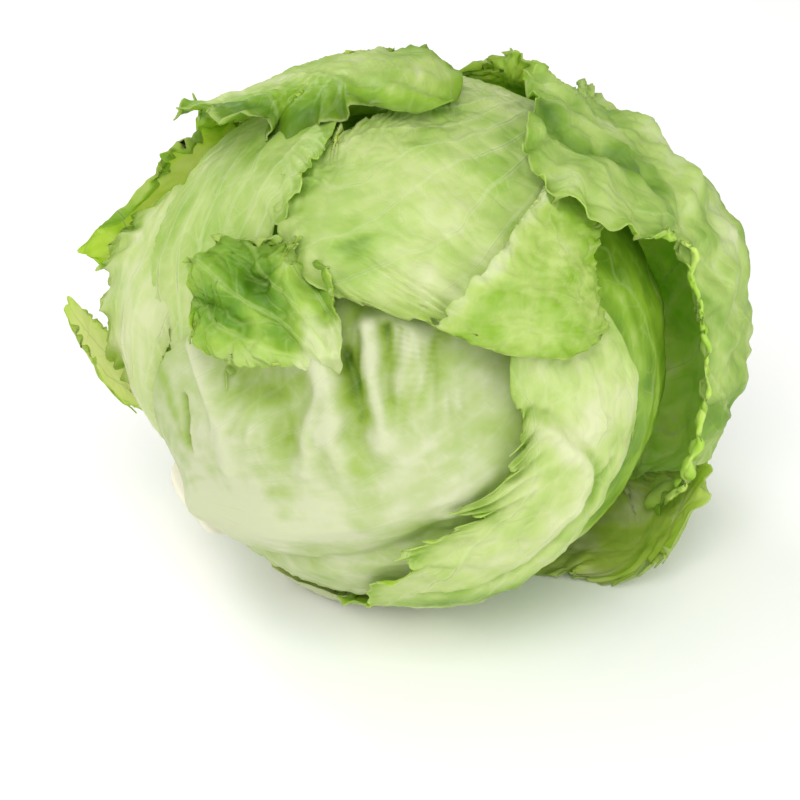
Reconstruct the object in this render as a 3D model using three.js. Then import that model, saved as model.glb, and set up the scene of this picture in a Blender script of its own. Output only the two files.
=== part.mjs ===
// Iceberg lettuce lying on its side: a tight heart, a cut stem, and the loose leaves folded round it.
// Units are millimetres and +Z is up. The origin is the middle of the flat patch that the head rests on.
// Azimuth is the compass bearing round the heart: 0 faces -Y, 90 faces +X, 180 faces +Y.
// Elevation is the height above the heart's equator, in degrees.
import * as THREE from 'three';

// Driving dimensions.
const HEART_RADII = new THREE.Vector3(81, 79, 78);
const HEART_CENTRE = new THREE.Vector3(0, 0, 80);
const HEART_REST = 12;            // height of the heart's flattened underside, with room for the leaves below
const HEART_SLACK = 1;            // the leaves are laid this far outside the heart's skin
const LEAF_THICKNESS = 1.2;
const GROUND_SNAP = 0.1;          // a leaf's underside that is this close to the ground lies flat on it
const STEM_AZIMUTH = -83;
const STEM_ELEVATION = -36;
const STEM_RADIUS = 15;
const STEM_CUT_RADIUS = 13;
const STEM_LENGTH = 13;
const STEM_GAP = 0.5;             // between the heart and the stem's inner end

// How finely each form is divided.
const HEART_RINGS = 18;
const HEART_SPOKES = 32;
const STEM_SIDES = 24;
const ROW_SPACING = 18;
const COLUMN_SPACING = 14;
const FEWEST_ROWS = 8;
const FEWEST_COLUMNS = 8;
const MARGIN_CROWDING = 1.5;      // above 1, the columns stand closer together near the margins
const CORNER_POWER = 2.5;         // how suddenly the tip's outline falls back towards its corners

const RADIANS = Math.PI / 180;

const COLOURS = {
  stem: 0xe3dcc0,
  heart: 0xb9cf8c,
  rib: 0xdde8c4,
  pale: 0xcfe29c,
  green: 0xa4cf68,
  deep: 0x6fa33c,
  backside: 0xa8c888,
};

// The unit vector that points from the heart's centre towards a bearing.
function bearing(azimuth, elevation) {
  const flat = Math.cos(elevation * RADIANS);
  const x = Math.sin(azimuth * RADIANS) * flat;
  const y = -Math.cos(azimuth * RADIANS) * flat;
  return new THREE.Vector3(x, y, Math.sin(elevation * RADIANS));
}

// The distance from the heart's centre to its skin along a unit vector.
function heartRadius(direction) {
  return 1 / direction.clone().divide(HEART_RADII).length();
}

// One cross-section of a leaf, from its base to its tip. Seen from outside with the tip upwards, each
// pair is [left margin, right margin]:
//   out   how far it stands off the heart at [left margin, midrib, right margin]
//   wide  half widths
//   turn  how far the margins turn away from the heart, in degrees, or towards it where negative
function section(azimuth, elevation, out, wide, turn = [0, 0]) {
  return { centre: bearing(azimuth, elevation), values: [...out, ...wide, ...turn] };
}

// Catmull-Rom blend of four numbers.
function blend(before, from, to, after, part) {
  const linear = to - before;
  const square = 2 * before - 5 * from + 4 * to - after;
  const cube = 3 * from - before - 3 * to + after;
  return from + 0.5 * part * (linear + part * (square + part * cube));
}

// The section at a place between 0 (base) and 1 (tip).
function sectionAt(sections, place) {
  const last = sections.length - 1;
  const along = THREE.MathUtils.clamp(place, 0, 1) * last;
  const index = Math.min(Math.floor(along), last - 1);
  const part = along - index;
  const flatten = (entry) => [...entry.centre.toArray(), ...entry.values];
  const from = flatten(sections[index]);
  const to = flatten(sections[index + 1]);
  const before = index > 0 ? flatten(sections[index - 1]) : from.map((value, i) => 2 * value - to[i]);
  const after = index + 2 <= last ? flatten(sections[index + 2]) : to.map((value, i) => 2 * value - from[i]);
  const mixed = from.map((value, i) => blend(before[i], value, to[i], after[i], part));
  return { centre: new THREE.Vector3(...mixed.slice(0, 3)).normalize(), values: mixed.slice(3) };
}

// Length of the midrib along the heart's skin.
function midribLength(sections) {
  const steps = 40;
  let length = 0;
  let previous = null;
  for (let step = 0; step <= steps; step += 1) {
    const { centre } = sectionAt(sections, step / steps);
    const point = centre.clone().multiplyScalar(heartRadius(centre));
    length += previous ? point.distanceTo(previous) : 0;
    previous = point;
  }
  return length;
}

// How far the blade has run, from its base, at evenly numbered places: at each step, the longest of its
// strides along the left margin, the midrib and the right margin.
function bladeDistances(leaf) {
  const steps = 60;
  const distances = [0];
  for (let step = 1; step <= steps; step += 1) {
    const strides = [-1, 0, 1].map((across) => {
      const from = leafPoint(leaf, (step - 1) / steps, across);
      return leafPoint(leaf, step / steps, across).distanceTo(from);
    });
    distances.push(distances[step - 1] + Math.max(...strides));
  }
  return distances;
}

// The place between 0 and 1 that lies a given share of the blade's run from the base.
function placeAtShare(distances, share) {
  const steps = distances.length - 1;
  const target = share * distances[steps];
  let step = 0;
  while (step < steps - 1 && distances[step + 1] < target) {
    step += 1;
  }
  const part = (target - distances[step]) / (distances[step + 1] - distances[step]);
  return (step + part) / steps;
}

// Bends the last stretch of a surface through an arc: returns how far a point moves along and outwards.
function arcShift(reach, bend, stretch) {
  const curvature = (bend * RADIANS) / stretch;
  const angle = curvature * reach;
  if (Math.abs(angle) < 1e-4) {
    return [0, 0];
  }
  return [Math.sin(angle) / curvature - reach, (1 - Math.cos(angle)) / curvature];
}

// A point of a leaf's middle surface. Along runs 0 to 1 from base to tip, across -1 to 1 from left to right.
function leafPoint(leaf, along, across) {
  const side = across < 0 ? 0 : 1;
  const place = along * (1 - leaf.cut[side] * Math.abs(across) ** CORNER_POWER);
  const { centre, values } = sectionAt(leaf.sections, place);
  const [outLeft, outMiddle, outRight, wideLeft, wideRight, turnLeft, turnRight] = values;
  const heading = sectionAt(leaf.sections, place + 1e-3).centre;
  heading.sub(sectionAt(leaf.sections, place - 1e-3).centre);
  heading.addScaledVector(centre, -heading.dot(centre)).normalize();
  const sideways = new THREE.Vector3().crossVectors(centre, heading).multiplyScalar(side === 0 ? 1 : -1);

  const wide = side === 0 ? wideLeft : wideRight;
  const reach = wide * Math.abs(across);
  const angle = reach / (heartRadius(centre) + outMiddle);
  const direction = centre.clone().multiplyScalar(Math.cos(angle)).addScaledVector(sideways, Math.sin(angle));
  const outward = sideways.clone().multiplyScalar(Math.cos(angle)).addScaledVector(centre, -Math.sin(angle));
  const outMargin = side === 0 ? outLeft : outRight;
  const out = outMiddle + (outMargin - outMiddle) * across * across;
  const point = direction.clone().multiplyScalar(heartRadius(direction) + out);
  const floor = Math.max(HEART_REST - out, LEAF_THICKNESS / 2) - HEART_CENTRE.z;
  point.z = Math.max(point.z, floor);

  const turned = Math.min(Math.max(leaf.roll - (wide - reach), 0), wide);
  const [marginShift, marginRise] = arcShift(turned, side === 0 ? turnLeft : turnRight, leaf.roll);
  point.addScaledVector(outward, marginShift).addScaledVector(direction, marginRise);

  const tipTurn = THREE.MathUtils.lerp(...leaf.tipTurn, THREE.MathUtils.smoothstep(across, -1, 1));
  const tipTurned = Math.max(leaf.tipRoll - (1 - along) * leaf.length, 0);
  const [tipShift, tipRise] = arcShift(tipTurned, tipTurn, leaf.tipRoll);
  point.addScaledVector(heading, tipShift).addScaledVector(direction, tipRise);

  point.add(HEART_CENTRE);
  point.z = Math.max(point.z, LEAF_THICKNESS / 2);
  return point;
}

// A closed leaf blade of even thickness round the middle surface.
function leafGeometry(leaf) {
  const widest = Math.max(...leaf.sections.map(({ values }) => values[3] + values[4]));
  const rows = Math.max(Math.ceil(leaf.distances.at(-1) / ROW_SPACING), FEWEST_ROWS);
  const columns = Math.max(2 * Math.ceil(widest / COLUMN_SPACING / 2), FEWEST_COLUMNS);
  const crowd = (value) => Math.sign(value) * (1 - (1 - Math.abs(value)) ** MARGIN_CROWDING);
  const grid = [];
  for (let row = 0; row <= rows; row += 1) {
    const place = placeAtShare(leaf.distances, row / rows);
    const line = [];
    for (let column = 0; column <= columns; column += 1) {
      line.push(leafPoint(leaf, place, crowd((2 * column) / columns - 1)));
    }
    grid.push(line);
  }
  const positions = [];
  for (const face of [1, -1]) {
    for (let row = 0; row <= rows; row += 1) {
      for (let column = 0; column <= columns; column += 1) {
        const up = grid[Math.min(row + 1, rows)][column].clone().sub(grid[Math.max(row - 1, 0)][column]);
        const over = grid[row][Math.min(column + 1, columns)].clone().sub(grid[row][Math.max(column - 1, 0)]);
        const normal = over.cross(up).normalize();
        const point = grid[row][column].clone().addScaledVector(normal, (face * LEAF_THICKNESS) / 2);
        positions.push(point.x, point.y, point.z < GROUND_SNAP ? 0 : point.z);
      }
    }
  }
  const stride = columns + 1;
  const under = (rows + 1) * stride;
  const triangles = [];
  const quad = (a, b, c, d) => triangles.push(a, b, c, a, c, d);
  for (let row = 0; row < rows; row += 1) {
    for (let column = 0; column < columns; column += 1) {
      const corner = row * stride + column;
      quad(corner, corner + 1, corner + stride + 1, corner + stride);
      quad(under + corner, under + corner + stride, under + corner + stride + 1, under + corner + 1);
    }
  }
  const rim = [];
  for (let column = 0; column < columns; column += 1) {
    rim.push(column);
  }
  for (let row = 0; row < rows; row += 1) {
    rim.push(row * stride + columns);
  }
  for (let column = columns; column > 0; column -= 1) {
    rim.push(rows * stride + column);
  }
  for (let row = rows; row > 0; row -= 1) {
    rim.push(row * stride);
  }
  rim.forEach((here, index) => {
    const next = rim[(index + 1) % rim.length];
    quad(here, under + here, under + next, next);
  });
  return indexedGeometry(positions, triangles);
}

function indexedGeometry(positions, triangles) {
  const geometry = new THREE.BufferGeometry();
  geometry.setAttribute('position', new THREE.Float32BufferAttribute(positions, 3));
  geometry.setIndex(triangles);
  geometry.computeVertexNormals();
  return geometry;
}

// The heart: the tightly folded inner leaves, as one rounded body that is flattened where it lies.
function heartGeometry() {
  const positions = [];
  const addPoint = (azimuth, elevation) => {
    const direction = bearing(azimuth, elevation);
    const point = direction.multiplyScalar(heartRadius(direction) - HEART_SLACK).add(HEART_CENTRE);
    positions.push(point.x, point.y, Math.max(point.z, HEART_REST));
  };
  addPoint(0, -90);
  for (let ring = 1; ring < HEART_RINGS; ring += 1) {
    for (let spoke = 0; spoke < HEART_SPOKES; spoke += 1) {
      addPoint((360 * spoke) / HEART_SPOKES, (180 * ring) / HEART_RINGS - 90);
    }
  }
  addPoint(0, 90);
  const top = positions.length / 3 - 1;
  const triangles = [];
  for (let spoke = 0; spoke < HEART_SPOKES; spoke += 1) {
    const next = (spoke + 1) % HEART_SPOKES;
    triangles.push(0, 1 + next, 1 + spoke);
    for (let ring = 0; ring < HEART_RINGS - 2; ring += 1) {
      const low = 1 + ring * HEART_SPOKES;
      const high = low + HEART_SPOKES;
      triangles.push(low + spoke, low + next, high + next, low + spoke, high + next, high + spoke);
    }
    const last = top - HEART_SPOKES;
    triangles.push(last + spoke, last + next, top);
  }
  return indexedGeometry(positions, triangles);
}

// The butt of the stem, cut across, with a rounded edge.
function stemGeometry() {
  const direction = bearing(STEM_AZIMUTH, STEM_ELEVATION);
  const start = heartRadius(direction) + STEM_GAP;
  const bevel = STEM_RADIUS - STEM_CUT_RADIUS;
  const profile = [
    new THREE.Vector2(0, start),
    new THREE.Vector2(STEM_RADIUS, start),
    new THREE.Vector2(STEM_RADIUS, start + STEM_LENGTH - bevel),
    new THREE.Vector2(STEM_CUT_RADIUS, start + STEM_LENGTH),
    new THREE.Vector2(0, start + STEM_LENGTH),
  ];
  const geometry = new THREE.LatheGeometry(profile, STEM_SIDES);
  const lean = new THREE.Quaternion().setFromUnitVectors(new THREE.Vector3(0, 1, 0), direction);
  geometry.applyQuaternion(lean);
  geometry.translate(...HEART_CENTRE.toArray());
  return geometry;
}

// The leaves, from the innermost layer outwards.
// cut is how much of the blade's length the tip loses at its [left, right] corner.
// roll is the width of the strip that turns at the margins, and tipRoll the length of it at the tip.
const LEAVES = {
  right_wrap_leaf: {
    colour: COLOURS.green,
    cut: [0.3, 0.3],
    sections: [
      section(-70, -52, [2.2, 2.2, 2.2], [12, 12]),
      section(-20, -76, [2, 2, 2], [38, 40]),
      section(48, -50, [1.6, 1.6, 1.6], [60, 60]),
      section(64, -10, [1.6, 1.6, 1.6], [62, 70]),
      section(66, 30, [1.6, 1.6, 1.6], [55, 65]),
      section(60, 62, [1.6, 1.6, 1.6], [35, 40]),
    ],
  },
  back_high_leaf: {
    colour: COLOURS.pale,
    cut: [0.25, 0.25],
    sections: [
      section(-112, -20, [3.6, 3.6, 3.6], [12, 12]),
      section(-140, 5, [3.6, 3.6, 3.6], [36, 28]),
      section(-165, 28, [3.6, 3.6, 3.6], [56, 38]),
      section(-170, 52, [3.6, 3.6, 3.6], [50, 22]),
      section(-120, 75, [3.6, 3.6, 3.6], [36, 12]),
    ],
  },
  back_low_leaf: {
    colour: COLOURS.green,
    cut: [0.25, 0.25],
    sections: [
      section(-112, -48, [3.8, 3.8, 3.8], [12, 12]),
      section(-150, -45, [4.5, 5.6, 5.6], [36, 36]),
      section(172, -28, [4.5, 5.6, 5.6], [50, 50]),
      section(140, -10, [5, 5.6, 5.6], [52, 50]),
      section(112, 5, [5.6, 5.6, 5.6], [44, 40]),
    ],
  },
  front_leaf: {
    colour: COLOURS.rib,
    cut: [0.1, 0.25],
    sections: [
      section(-70, -27, [5, 5, 5], [12, 12]),
      section(-50, -18, [8.5, 4.6, 4], [52, 26]),
      section(-28, -13, [9.4, 4.6, 4], [80, 34]),
      section(-5, -6, [5, 4.6, 4], [82, 36]),
      section(16, 4, [4.6, 4.6, 4], [86, 32]),
      section(38, 17, [4, 4, 4], [72, 28]),
    ],
  },
  right_front_leaf: {
    colour: COLOURS.pale,
    cut: [0.15, 0.25],
    roll: 10,
    sections: [
      section(-76, -54, [5.4, 5.4, 5.4], [8, 8]),
      section(-38, -68, [4.6, 4.6, 4.6], [12, 16]),
      section(0, -52, [5.4, 5.4, 5], [16, 20]),
      section(18, -30, [6.8, 9, 9], [30, 16], [0, -40]),
      section(31, -8, [7, 10, 10], [33, 20], [0, -40]),
      section(38, 12, [7, 10, 10], [34, 24], [0, -40]),
      section(42, 34, [7, 8, 8], [46, 24], [0, -30]),
    ],
  },
  left_wide_leaf: {
    colour: COLOURS.pale,
    cut: [0.2, 0.15],
    roll: 12,
    sections: [
      section(-68, -12, [3.2, 3.2, 3.2], [8, 10]),
      section(-59, 0, [3.2, 3.2, 3.2], [12, 14]),
      section(-55, 14, [5, 3.4, 3.2], [18, 16]),
      section(-57, 32, [13, 6.6, 4], [27, 18]),
      section(-66, 50, [13, 12.6, 16], [36, 30], [0, 10]),
      section(-76, 64, [13, 14, 16], [40, 32], [0, 10]),
      section(-84, 76, [13, 14, 14.5], [30, 22]),
    ],
  },
  far_left_leaf: {
    colour: COLOURS.pale,
    cut: [0.25, 0.25],
    roll: 40,
    sections: [
      section(-84, -18, [3.6, 3.6, 3.6], [7, 7]),
      section(-81, -6, [6, 6, 4], [20, 12], [25, 0]),
      section(-81, 12, [9, 9, 4.6], [26, 15], [38, 0]),
      section(-83, 28, [11, 10, 4.6], [27, 20], [36, 0]),
      section(-92, 42, [9, 7, 5], [18, 20], [25, 0]),
    ],
  },
  crumpled_leaf: {
    colour: COLOURS.deep,
    cut: [0.3, 0.3],
    roll: 14,
    sections: [
      section(-18, 27, [8, 8, 8], [5, 6]),
      section(-27, 30, [9.5, 11.5, 10], [10, 20]),
      section(-39, 34, [10.8, 13.5, 10.5], [17, 18]),
      section(-49, 36, [12.5, 14.5, 12], [19, 15], [0, 10]),
      section(-57, 35, [13, 13.5, 12.5], [12, 10], [30, 20]),
    ],
  },
  crown_side_leaf: {
    colour: COLOURS.green,
    cut: [0.12, 0.04],
    roll: 10,
    sections: [
      section(-122, -48, [11.8, 11.8, 11.8], [9, 9]),
      section(-170, -22, [12, 12, 12], [18, 18]),
      section(150, 10, [12.2, 12.2, 12.2], [26, 22]),
      section(118, 38, [13, 13, 13], [20, 18]),
      section(84, 54, [13, 14.4, 15.4], [18, 14]),
      section(54, 52, [11.5, 14.8, 16.5], [16, 11], [0, -15]),
      section(37, 44, [10.5, 15, 17.4], [20, 19], [0, -20]),
      section(29, 35, [11, 15, 17.4], [26, 27], [0, -25]),
      section(25, 27, [11.5, 14.6, 16], [25, 34], [10, -20]),
    ],
  },
  crown_leaf: {
    colour: COLOURS.pale,
    cut: [0.15, 0.15],
    sections: [
      section(-120, -26, [10, 10, 10], [8, 8]),
      section(-150, 0, [10, 10, 10], [22, 18]),
      section(175, 32, [10.2, 10.2, 10.2], [28, 30]),
      section(142, 50, [10.8, 10.8, 10.8], [28, 30]),
      section(104, 66, [12, 12, 12], [30, 28]),
      section(50, 73, [12, 12.4, 11.5], [42, 26]),
      section(2, 70, [12.5, 13, 12], [54, 24]),
      section(-28, 62, [12.8, 12.8, 12], [42, 22]),
      section(-46, 56, [12.6, 12.4, 12], [24, 16]),
    ],
  },
  top_knot_leaf: {
    colour: COLOURS.deep,
    cut: [0.3, 0.3],
    roll: 14,
    tipTurn: [70, 70],
    tipRoll: 16,
    sections: [
      section(-130, -36, [14, 14, 14], [6, 6]),
      section(-174, -8, [14.4, 14.4, 14.4], [22, 22]),
      section(168, 22, [15, 15, 15], [26, 30]),
      section(154, 45, [15.2, 15.2, 15.2], [20, 22], [20, 20]),
      section(143, 62, [16, 16, 16], [14, 14], [50, 40]),
    ],
  },
  back_left_leaf: {
    colour: COLOURS.green,
    cut: [0.2, 0.2],
    roll: 34,
    sections: [
      section(-106, -42, [6, 6, 6], [12, 10]),
      section(-116, -22, [7.4, 7.4, 7.4], [26, 20]),
      section(-117, 0, [7.8, 10, 15], [30, 36], [0, 40]),
      section(-117, 20, [7.8, 12, 22], [30, 46], [0, 60]),
      section(-120, 36, [9, 13, 22], [28, 36], [0, 30]),
      section(-124, 46, [11, 12, 13], [20, 20], [0, 10]),
    ],
  },
  low_left_leaf: {
    colour: COLOURS.pale,
    cut: [0.3, 0.3],
    roll: 24,
    sections: [
      section(-101, -28, [10, 10, 10], [7, 7]),
      section(-102, -14, [17, 17, 16], [11, 16]),
      section(-98, -2, [27, 27, 26], [14, 18], [0, 20]),
      section(-95, 7, [37, 36, 35], [12, 14]),
    ],
  },
  top_left_leaf: {
    colour: COLOURS.green,
    cut: [0.2, 0.02],
    roll: 14,
    tipTurn: [0, 150],
    tipRoll: 22,
    sections: [
      section(-120, -20, [15, 15, 15], [8, 8]),
      section(-136, 2, [16.6, 16.4, 16], [26, 18]),
      section(-142, 24, [17.2, 17, 17], [34, 18]),
      section(-134, 44, [17.4, 19, 19], [40, 20]),
      section(-115, 62, [17, 21, 21], [40, 34], [0, 10]),
      section(-72, 70, [17, 21, 20], [42, 42], [0, 25]),
      section(-43, 66, [17, 20, 19], [42, 38], [0, 25]),
    ],
  },
  top_right_leaf: {
    colour: COLOURS.backside,
    cut: [0.1, 0.1],
    roll: 18,
    sections: [
      section(-112, -60, [13, 13, 13], [8, 8]),
      section(178, -54, [14, 14, 14], [22, 26]),
      section(138, -40, [26, 28, 18], [38, 40], [20, 0]),
      section(126, -27, [20, 31, 18], [50, 48], [70, 0]),
      section(112, -12, [9, 32, 18.5], [82, 56], [150, 0]),
      section(104, 14, [3, 32, 18.5], [66, 60], [150, 0]),
      section(100, 36, [7, 25, 18.5], [50, 50], [140, 0]),
      section(96, 54, [18, 20, 19], [52, 30], [20, 0]),
      section(106, 70, [18, 19, 19], [42, 20]),
    ],
  },
  under_leaf: {
    colour: COLOURS.rib,
    cut: [0.2, 0.2],
    roll: 14,
    sections: [
      section(-74, -56, [10, 10, 10], [10, 10]),
      section(-60, -70, [8.4, 12.2, 12.2], [36, 20]),
      section(4, -86, [12.2, 12.2, 12.2], [14, 30]),
      section(86, -66, [12.2, 12.2, 12.2], [15, 16]),
      section(87, -52, [16, 18, 18], [18, 14]),
      section(82, -43, [27, 26, 26], [17, 10], [20, 0]),
      section(81, -33, [27, 27, 29], [14, 7], [20, 0]),
      section(84, -26, [25, 25, 27], [9, 6], [20, 0]),
    ],
  },
};

function addMesh(group, name, geometry, colour, roughness) {
  const material = new THREE.MeshStandardMaterial({ color: colour, roughness, metalness: 0 });
  const mesh = new THREE.Mesh(geometry, material);
  mesh.name = name;
  group.add(mesh);
}

function buildLettuce() {
  const lettuce = new THREE.Group();
  addMesh(lettuce, 'heart', heartGeometry(), COLOURS.heart, 0.5);
  addMesh(lettuce, 'stem', stemGeometry(), COLOURS.stem, 0.7);
  for (const [name, shape] of Object.entries(LEAVES)) {
    const leaf = { roll: 20, tipTurn: [0, 0], tipRoll: 20, ...shape };
    leaf.length = midribLength(leaf.sections);
    leaf.distances = bladeDistances(leaf);
    addMesh(lettuce, name, leafGeometry(leaf), shape.colour, 0.45);
  }
  return lettuce;
}

export default buildLettuce();
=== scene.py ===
"""Looks of an iceberg lettuce that lies on its side with the stem to the left.

The head is a tight heart wrapped in broad leaves. Each leaf is one blade laid round the head: a few
sections along its midrib say where it runs, how far it stands off and how wide it is. Bearings are
(azimuth, elevation) in degrees as seen from the head's centre: azimuth 0 faces -Y, 90 faces +X and
elevation is above the equator. Lengths are in millimetres until a mesh is made.
"""

import logging
import math
from dataclasses import dataclass
from enum import Enum, IntEnum

import bpy
import numpy as np
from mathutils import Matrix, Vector

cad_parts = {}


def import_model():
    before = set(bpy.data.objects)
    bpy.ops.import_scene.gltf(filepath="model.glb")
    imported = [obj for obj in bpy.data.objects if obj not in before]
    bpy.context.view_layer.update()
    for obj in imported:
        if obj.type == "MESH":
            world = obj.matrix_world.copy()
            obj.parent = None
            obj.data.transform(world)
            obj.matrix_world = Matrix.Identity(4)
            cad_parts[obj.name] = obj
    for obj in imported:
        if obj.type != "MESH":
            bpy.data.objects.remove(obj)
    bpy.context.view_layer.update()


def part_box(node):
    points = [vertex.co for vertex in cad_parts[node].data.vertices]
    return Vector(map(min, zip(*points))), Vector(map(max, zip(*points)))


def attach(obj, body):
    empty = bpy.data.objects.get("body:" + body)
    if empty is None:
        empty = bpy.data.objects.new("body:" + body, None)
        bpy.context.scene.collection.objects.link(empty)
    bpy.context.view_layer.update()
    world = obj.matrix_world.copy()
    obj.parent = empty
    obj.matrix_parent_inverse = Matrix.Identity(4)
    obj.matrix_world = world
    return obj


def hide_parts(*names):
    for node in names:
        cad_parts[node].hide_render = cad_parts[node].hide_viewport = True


LOG = logging.getLogger("lettuce")

METRE = 0.001              # metres in a millimetre
SLACK = 1.0                # the leaves are laid this far outside the heart's skin
HEART_TOP_SHARE = 77 / 80  # the heart's upward radius as a share of its radius along X
HEART_REST = 12.0          # height of the heart's flattened underside
LAID_HALF = 0.6            # half the thickness that the leaves were laid with
FLAT_SCALE = 100.0         # millimetres to a unit on the flattened leaf
WAVE_COUNT = 14            # how many waves cross in a noise, unless it says otherwise
SCATTER = np.array([[127.1, 269.5], [311.7, 183.3]])   # any large uneven numbers scatter the cells
SCATTER_SCALE = 43758.5453

Bearing = tuple[float, float]


def bearing(azimuth: np.ndarray, elevation: np.ndarray) -> np.ndarray:
    """Unit vectors towards bearings given in degrees."""
    a, e = np.radians(azimuth), np.radians(elevation)
    return np.stack([np.sin(a) * np.cos(e), -np.cos(a) * np.cos(e), np.sin(e)], -1)


def smooth(low: float, high: float, value: np.ndarray) -> np.ndarray:
    """Eases from 0 at low to 1 at high."""
    x = np.clip((value - low) / (high - low), 0, 1)
    return x * x * (3 - 2 * x)


def unit(vectors: np.ndarray) -> np.ndarray:
    """Scales vectors to length one."""
    return vectors / (np.linalg.norm(vectors, axis=-1, keepdims=True) + 1e-12)


def cells(points: np.ndarray, size: float, seed: int) -> np.ndarray:
    """Divides a plane into irregular cells.

    Args:
        points: Flat points.
        size: How wide a cell is, on average.
        seed: What the cells are drawn from.

    Returns:
        The distance from each point to the nearest border between cells, in the points' own unit.
    """
    grid = points / size
    base = np.floor(grid)
    first, second = (np.full(grid.shape[:-1], 9.0) for _ in range(2))
    for step in np.ndindex(3, 3):
        cell = base + np.array(step) - 1
        jitter = np.sin(cell @ SCATTER + seed) * SCATTER_SCALE
        reach = np.linalg.norm(cell + 0.1 + 0.8 * (jitter - np.floor(jitter)) - grid, axis=-1)
        second = np.minimum(second, np.maximum(first, reach))
        first = np.minimum(first, reach)
    return (second - first) * size / 2


class Waves:
    """Smooth seeded noise made of crossing plane waves."""

    def __init__(self, seed: int, dimensions: int, count: int = WAVE_COUNT) -> None:
        """Draws the waves.

        Args:
            seed: What the waves are drawn from.
            dimensions: Length of the points that it is read at.
            count: How many waves cross.
        """
        random = np.random.default_rng(seed)
        pace = random.uniform(0.55, 1.5, (count, 1)) * 2 * math.pi
        self.ways = unit(random.normal(size=(count, dimensions))) * pace
        self.phases = random.uniform(0, 2 * math.pi, count)

    def at(self, points: np.ndarray, size: float) -> np.ndarray:
        """Noise, mostly between -1 and 1, with features of about the given size."""
        angles = points @ self.ways.T / size + self.phases
        return np.sin(angles).sum(-1) / math.sqrt(2 * len(self.phases))


@dataclass(frozen=True)
class Head:
    """The egg-shaped form that the leaves are laid on."""

    centre: np.ndarray
    radii: np.ndarray

    @classmethod
    def of_frame(cls) -> "Head":
        """Reads the head's form from the box of the heart's solid.

        Returns:
            The form.
        """
        low, high = (np.array(corner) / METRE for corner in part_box("heart"))
        across, deep = (high[:2] - low[:2]) / 2
        up = across * HEART_TOP_SHARE
        centre = np.array([*(high[:2] + low[:2]) / 2, high[2] - up])
        return cls(centre, np.array([across, deep, up]) + SLACK)

    def reach(self, directions: np.ndarray) -> np.ndarray:
        """Distance from the centre to the skin that leaves are laid on."""
        return 1 / np.linalg.norm(directions / self.radii, axis=-1)


def splined(rows: np.ndarray, place: np.ndarray) -> np.ndarray:
    """Catmull-Rom blend along a list of rows.

    Args:
        rows: One row of numbers for each section.
        place: Where to read, 0 at the first row and 1 at the last.

    Returns:
        One blended row for each place.
    """
    last = len(rows) - 1
    padded = np.vstack([2 * rows[0] - rows[1], rows, 2 * rows[-1] - rows[-2]])
    along = np.clip(place, 0, 1.15) * last
    index = np.minimum(along.astype(int), last - 1)
    part = (along - index)[..., None]
    p0, p1, p2, p3 = (padded[index + k] for k in range(4))
    cube = 3 * p1 - p0 - 3 * p2 + p3
    return p1 + 0.5 * part * (p2 - p0 + part * (2 * p0 - 5 * p1 + 4 * p2 - p3 + part * cube))


@dataclass(frozen=True)
class Section:
    """One cross-section of a leaf. Pairs are (left, right) as seen from outside, tip upwards.

    out is the stand-off at (left margin, midrib, right margin), wide the half widths, and turn how far
    the margins turn away from the head in degrees, or towards it where negative.
    """

    azimuth: float
    elevation: float
    out: tuple[float, float, float]
    wide: tuple[float, float]
    turn: tuple[float, float] = (0, 0)


@dataclass(frozen=True)
class Margin:
    """The free edge of a leaf: its ruffle and its teeth."""

    sides: tuple[float, float, float] = (1, 1, 1)  # strength at the left, tip and right
    ruffle: float = 1.6    # height of the waves
    wave: float = 15.0     # distance between waves
    reach: float = 12.0    # how far the ruffle comes in from the edge
    tooth: float = 2.4     # depth of the teeth
    pitch: float = 7.0     # distance between teeth
    lift: float = 0.6      # how far the edge stands up
    lobe: float = 2.0      # depth of the broad lobes
    start: float = 0.02    # share of the length at which the margin becomes free


@dataclass(frozen=True)
class Relief:
    """A ridge, groove or hollow along a path of bearings, and the shade it takes."""

    path: tuple[Bearing, ...]
    width: float
    height: float = 0.0
    tone: float = 0.0
    fade: float = 0.0      # how much weaker and broader it is at the end of its path


class Finish(Enum):
    """Kinds of leaf surface, by their colour."""

    RIB = "rib"
    PALE = "pale"
    GREEN = "green"
    DEEP = "deep"
    OUTER = "outer"
    SHEER = "sheer"


@dataclass(frozen=True)
class Leaf:
    """Everything that sets one leaf apart."""

    node: str
    slot: str
    finish: Finish
    sections: tuple[Section, ...]
    cut: tuple[float, float] = (0.25, 0.25)   # how far the tip's corners fall back
    roll: float = 20.0                        # width of the strip that turns at the margins
    tip_turn: tuple[float, float] = (0, 0)
    tip_roll: float = 20.0
    margin: Margin = Margin()
    tone: tuple[float, float, float] = (0.15, 0.45, 0.55)   # at the base, in the blade, at the edge
    pale_reach: float = 0.5                   # share of the length over which the base's colour fades
    fan: tuple[float, float] = (9.0, 40.0)    # veins per radian, and how far behind the base they meet
    rib: float = 0.35                         # height of the veins
    midrib: float = 1.0                       # height of the midrib
    pucker: float = 0.35                      # height of the blisters between veins
    crumple: float = 0.5                      # height of the broad folds
    reliefs: tuple[Relief, ...] = ()
    edge: tuple[Bearing, ...] = ()            # bearings that the free edge passes through
    soften: float = 3.0                       # how smoothly the edge passes from one bearing to the next
    corner: float = 5.0                       # above 2, how square the tip is
    grain: float = 1.3                        # mesh spacing


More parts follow.
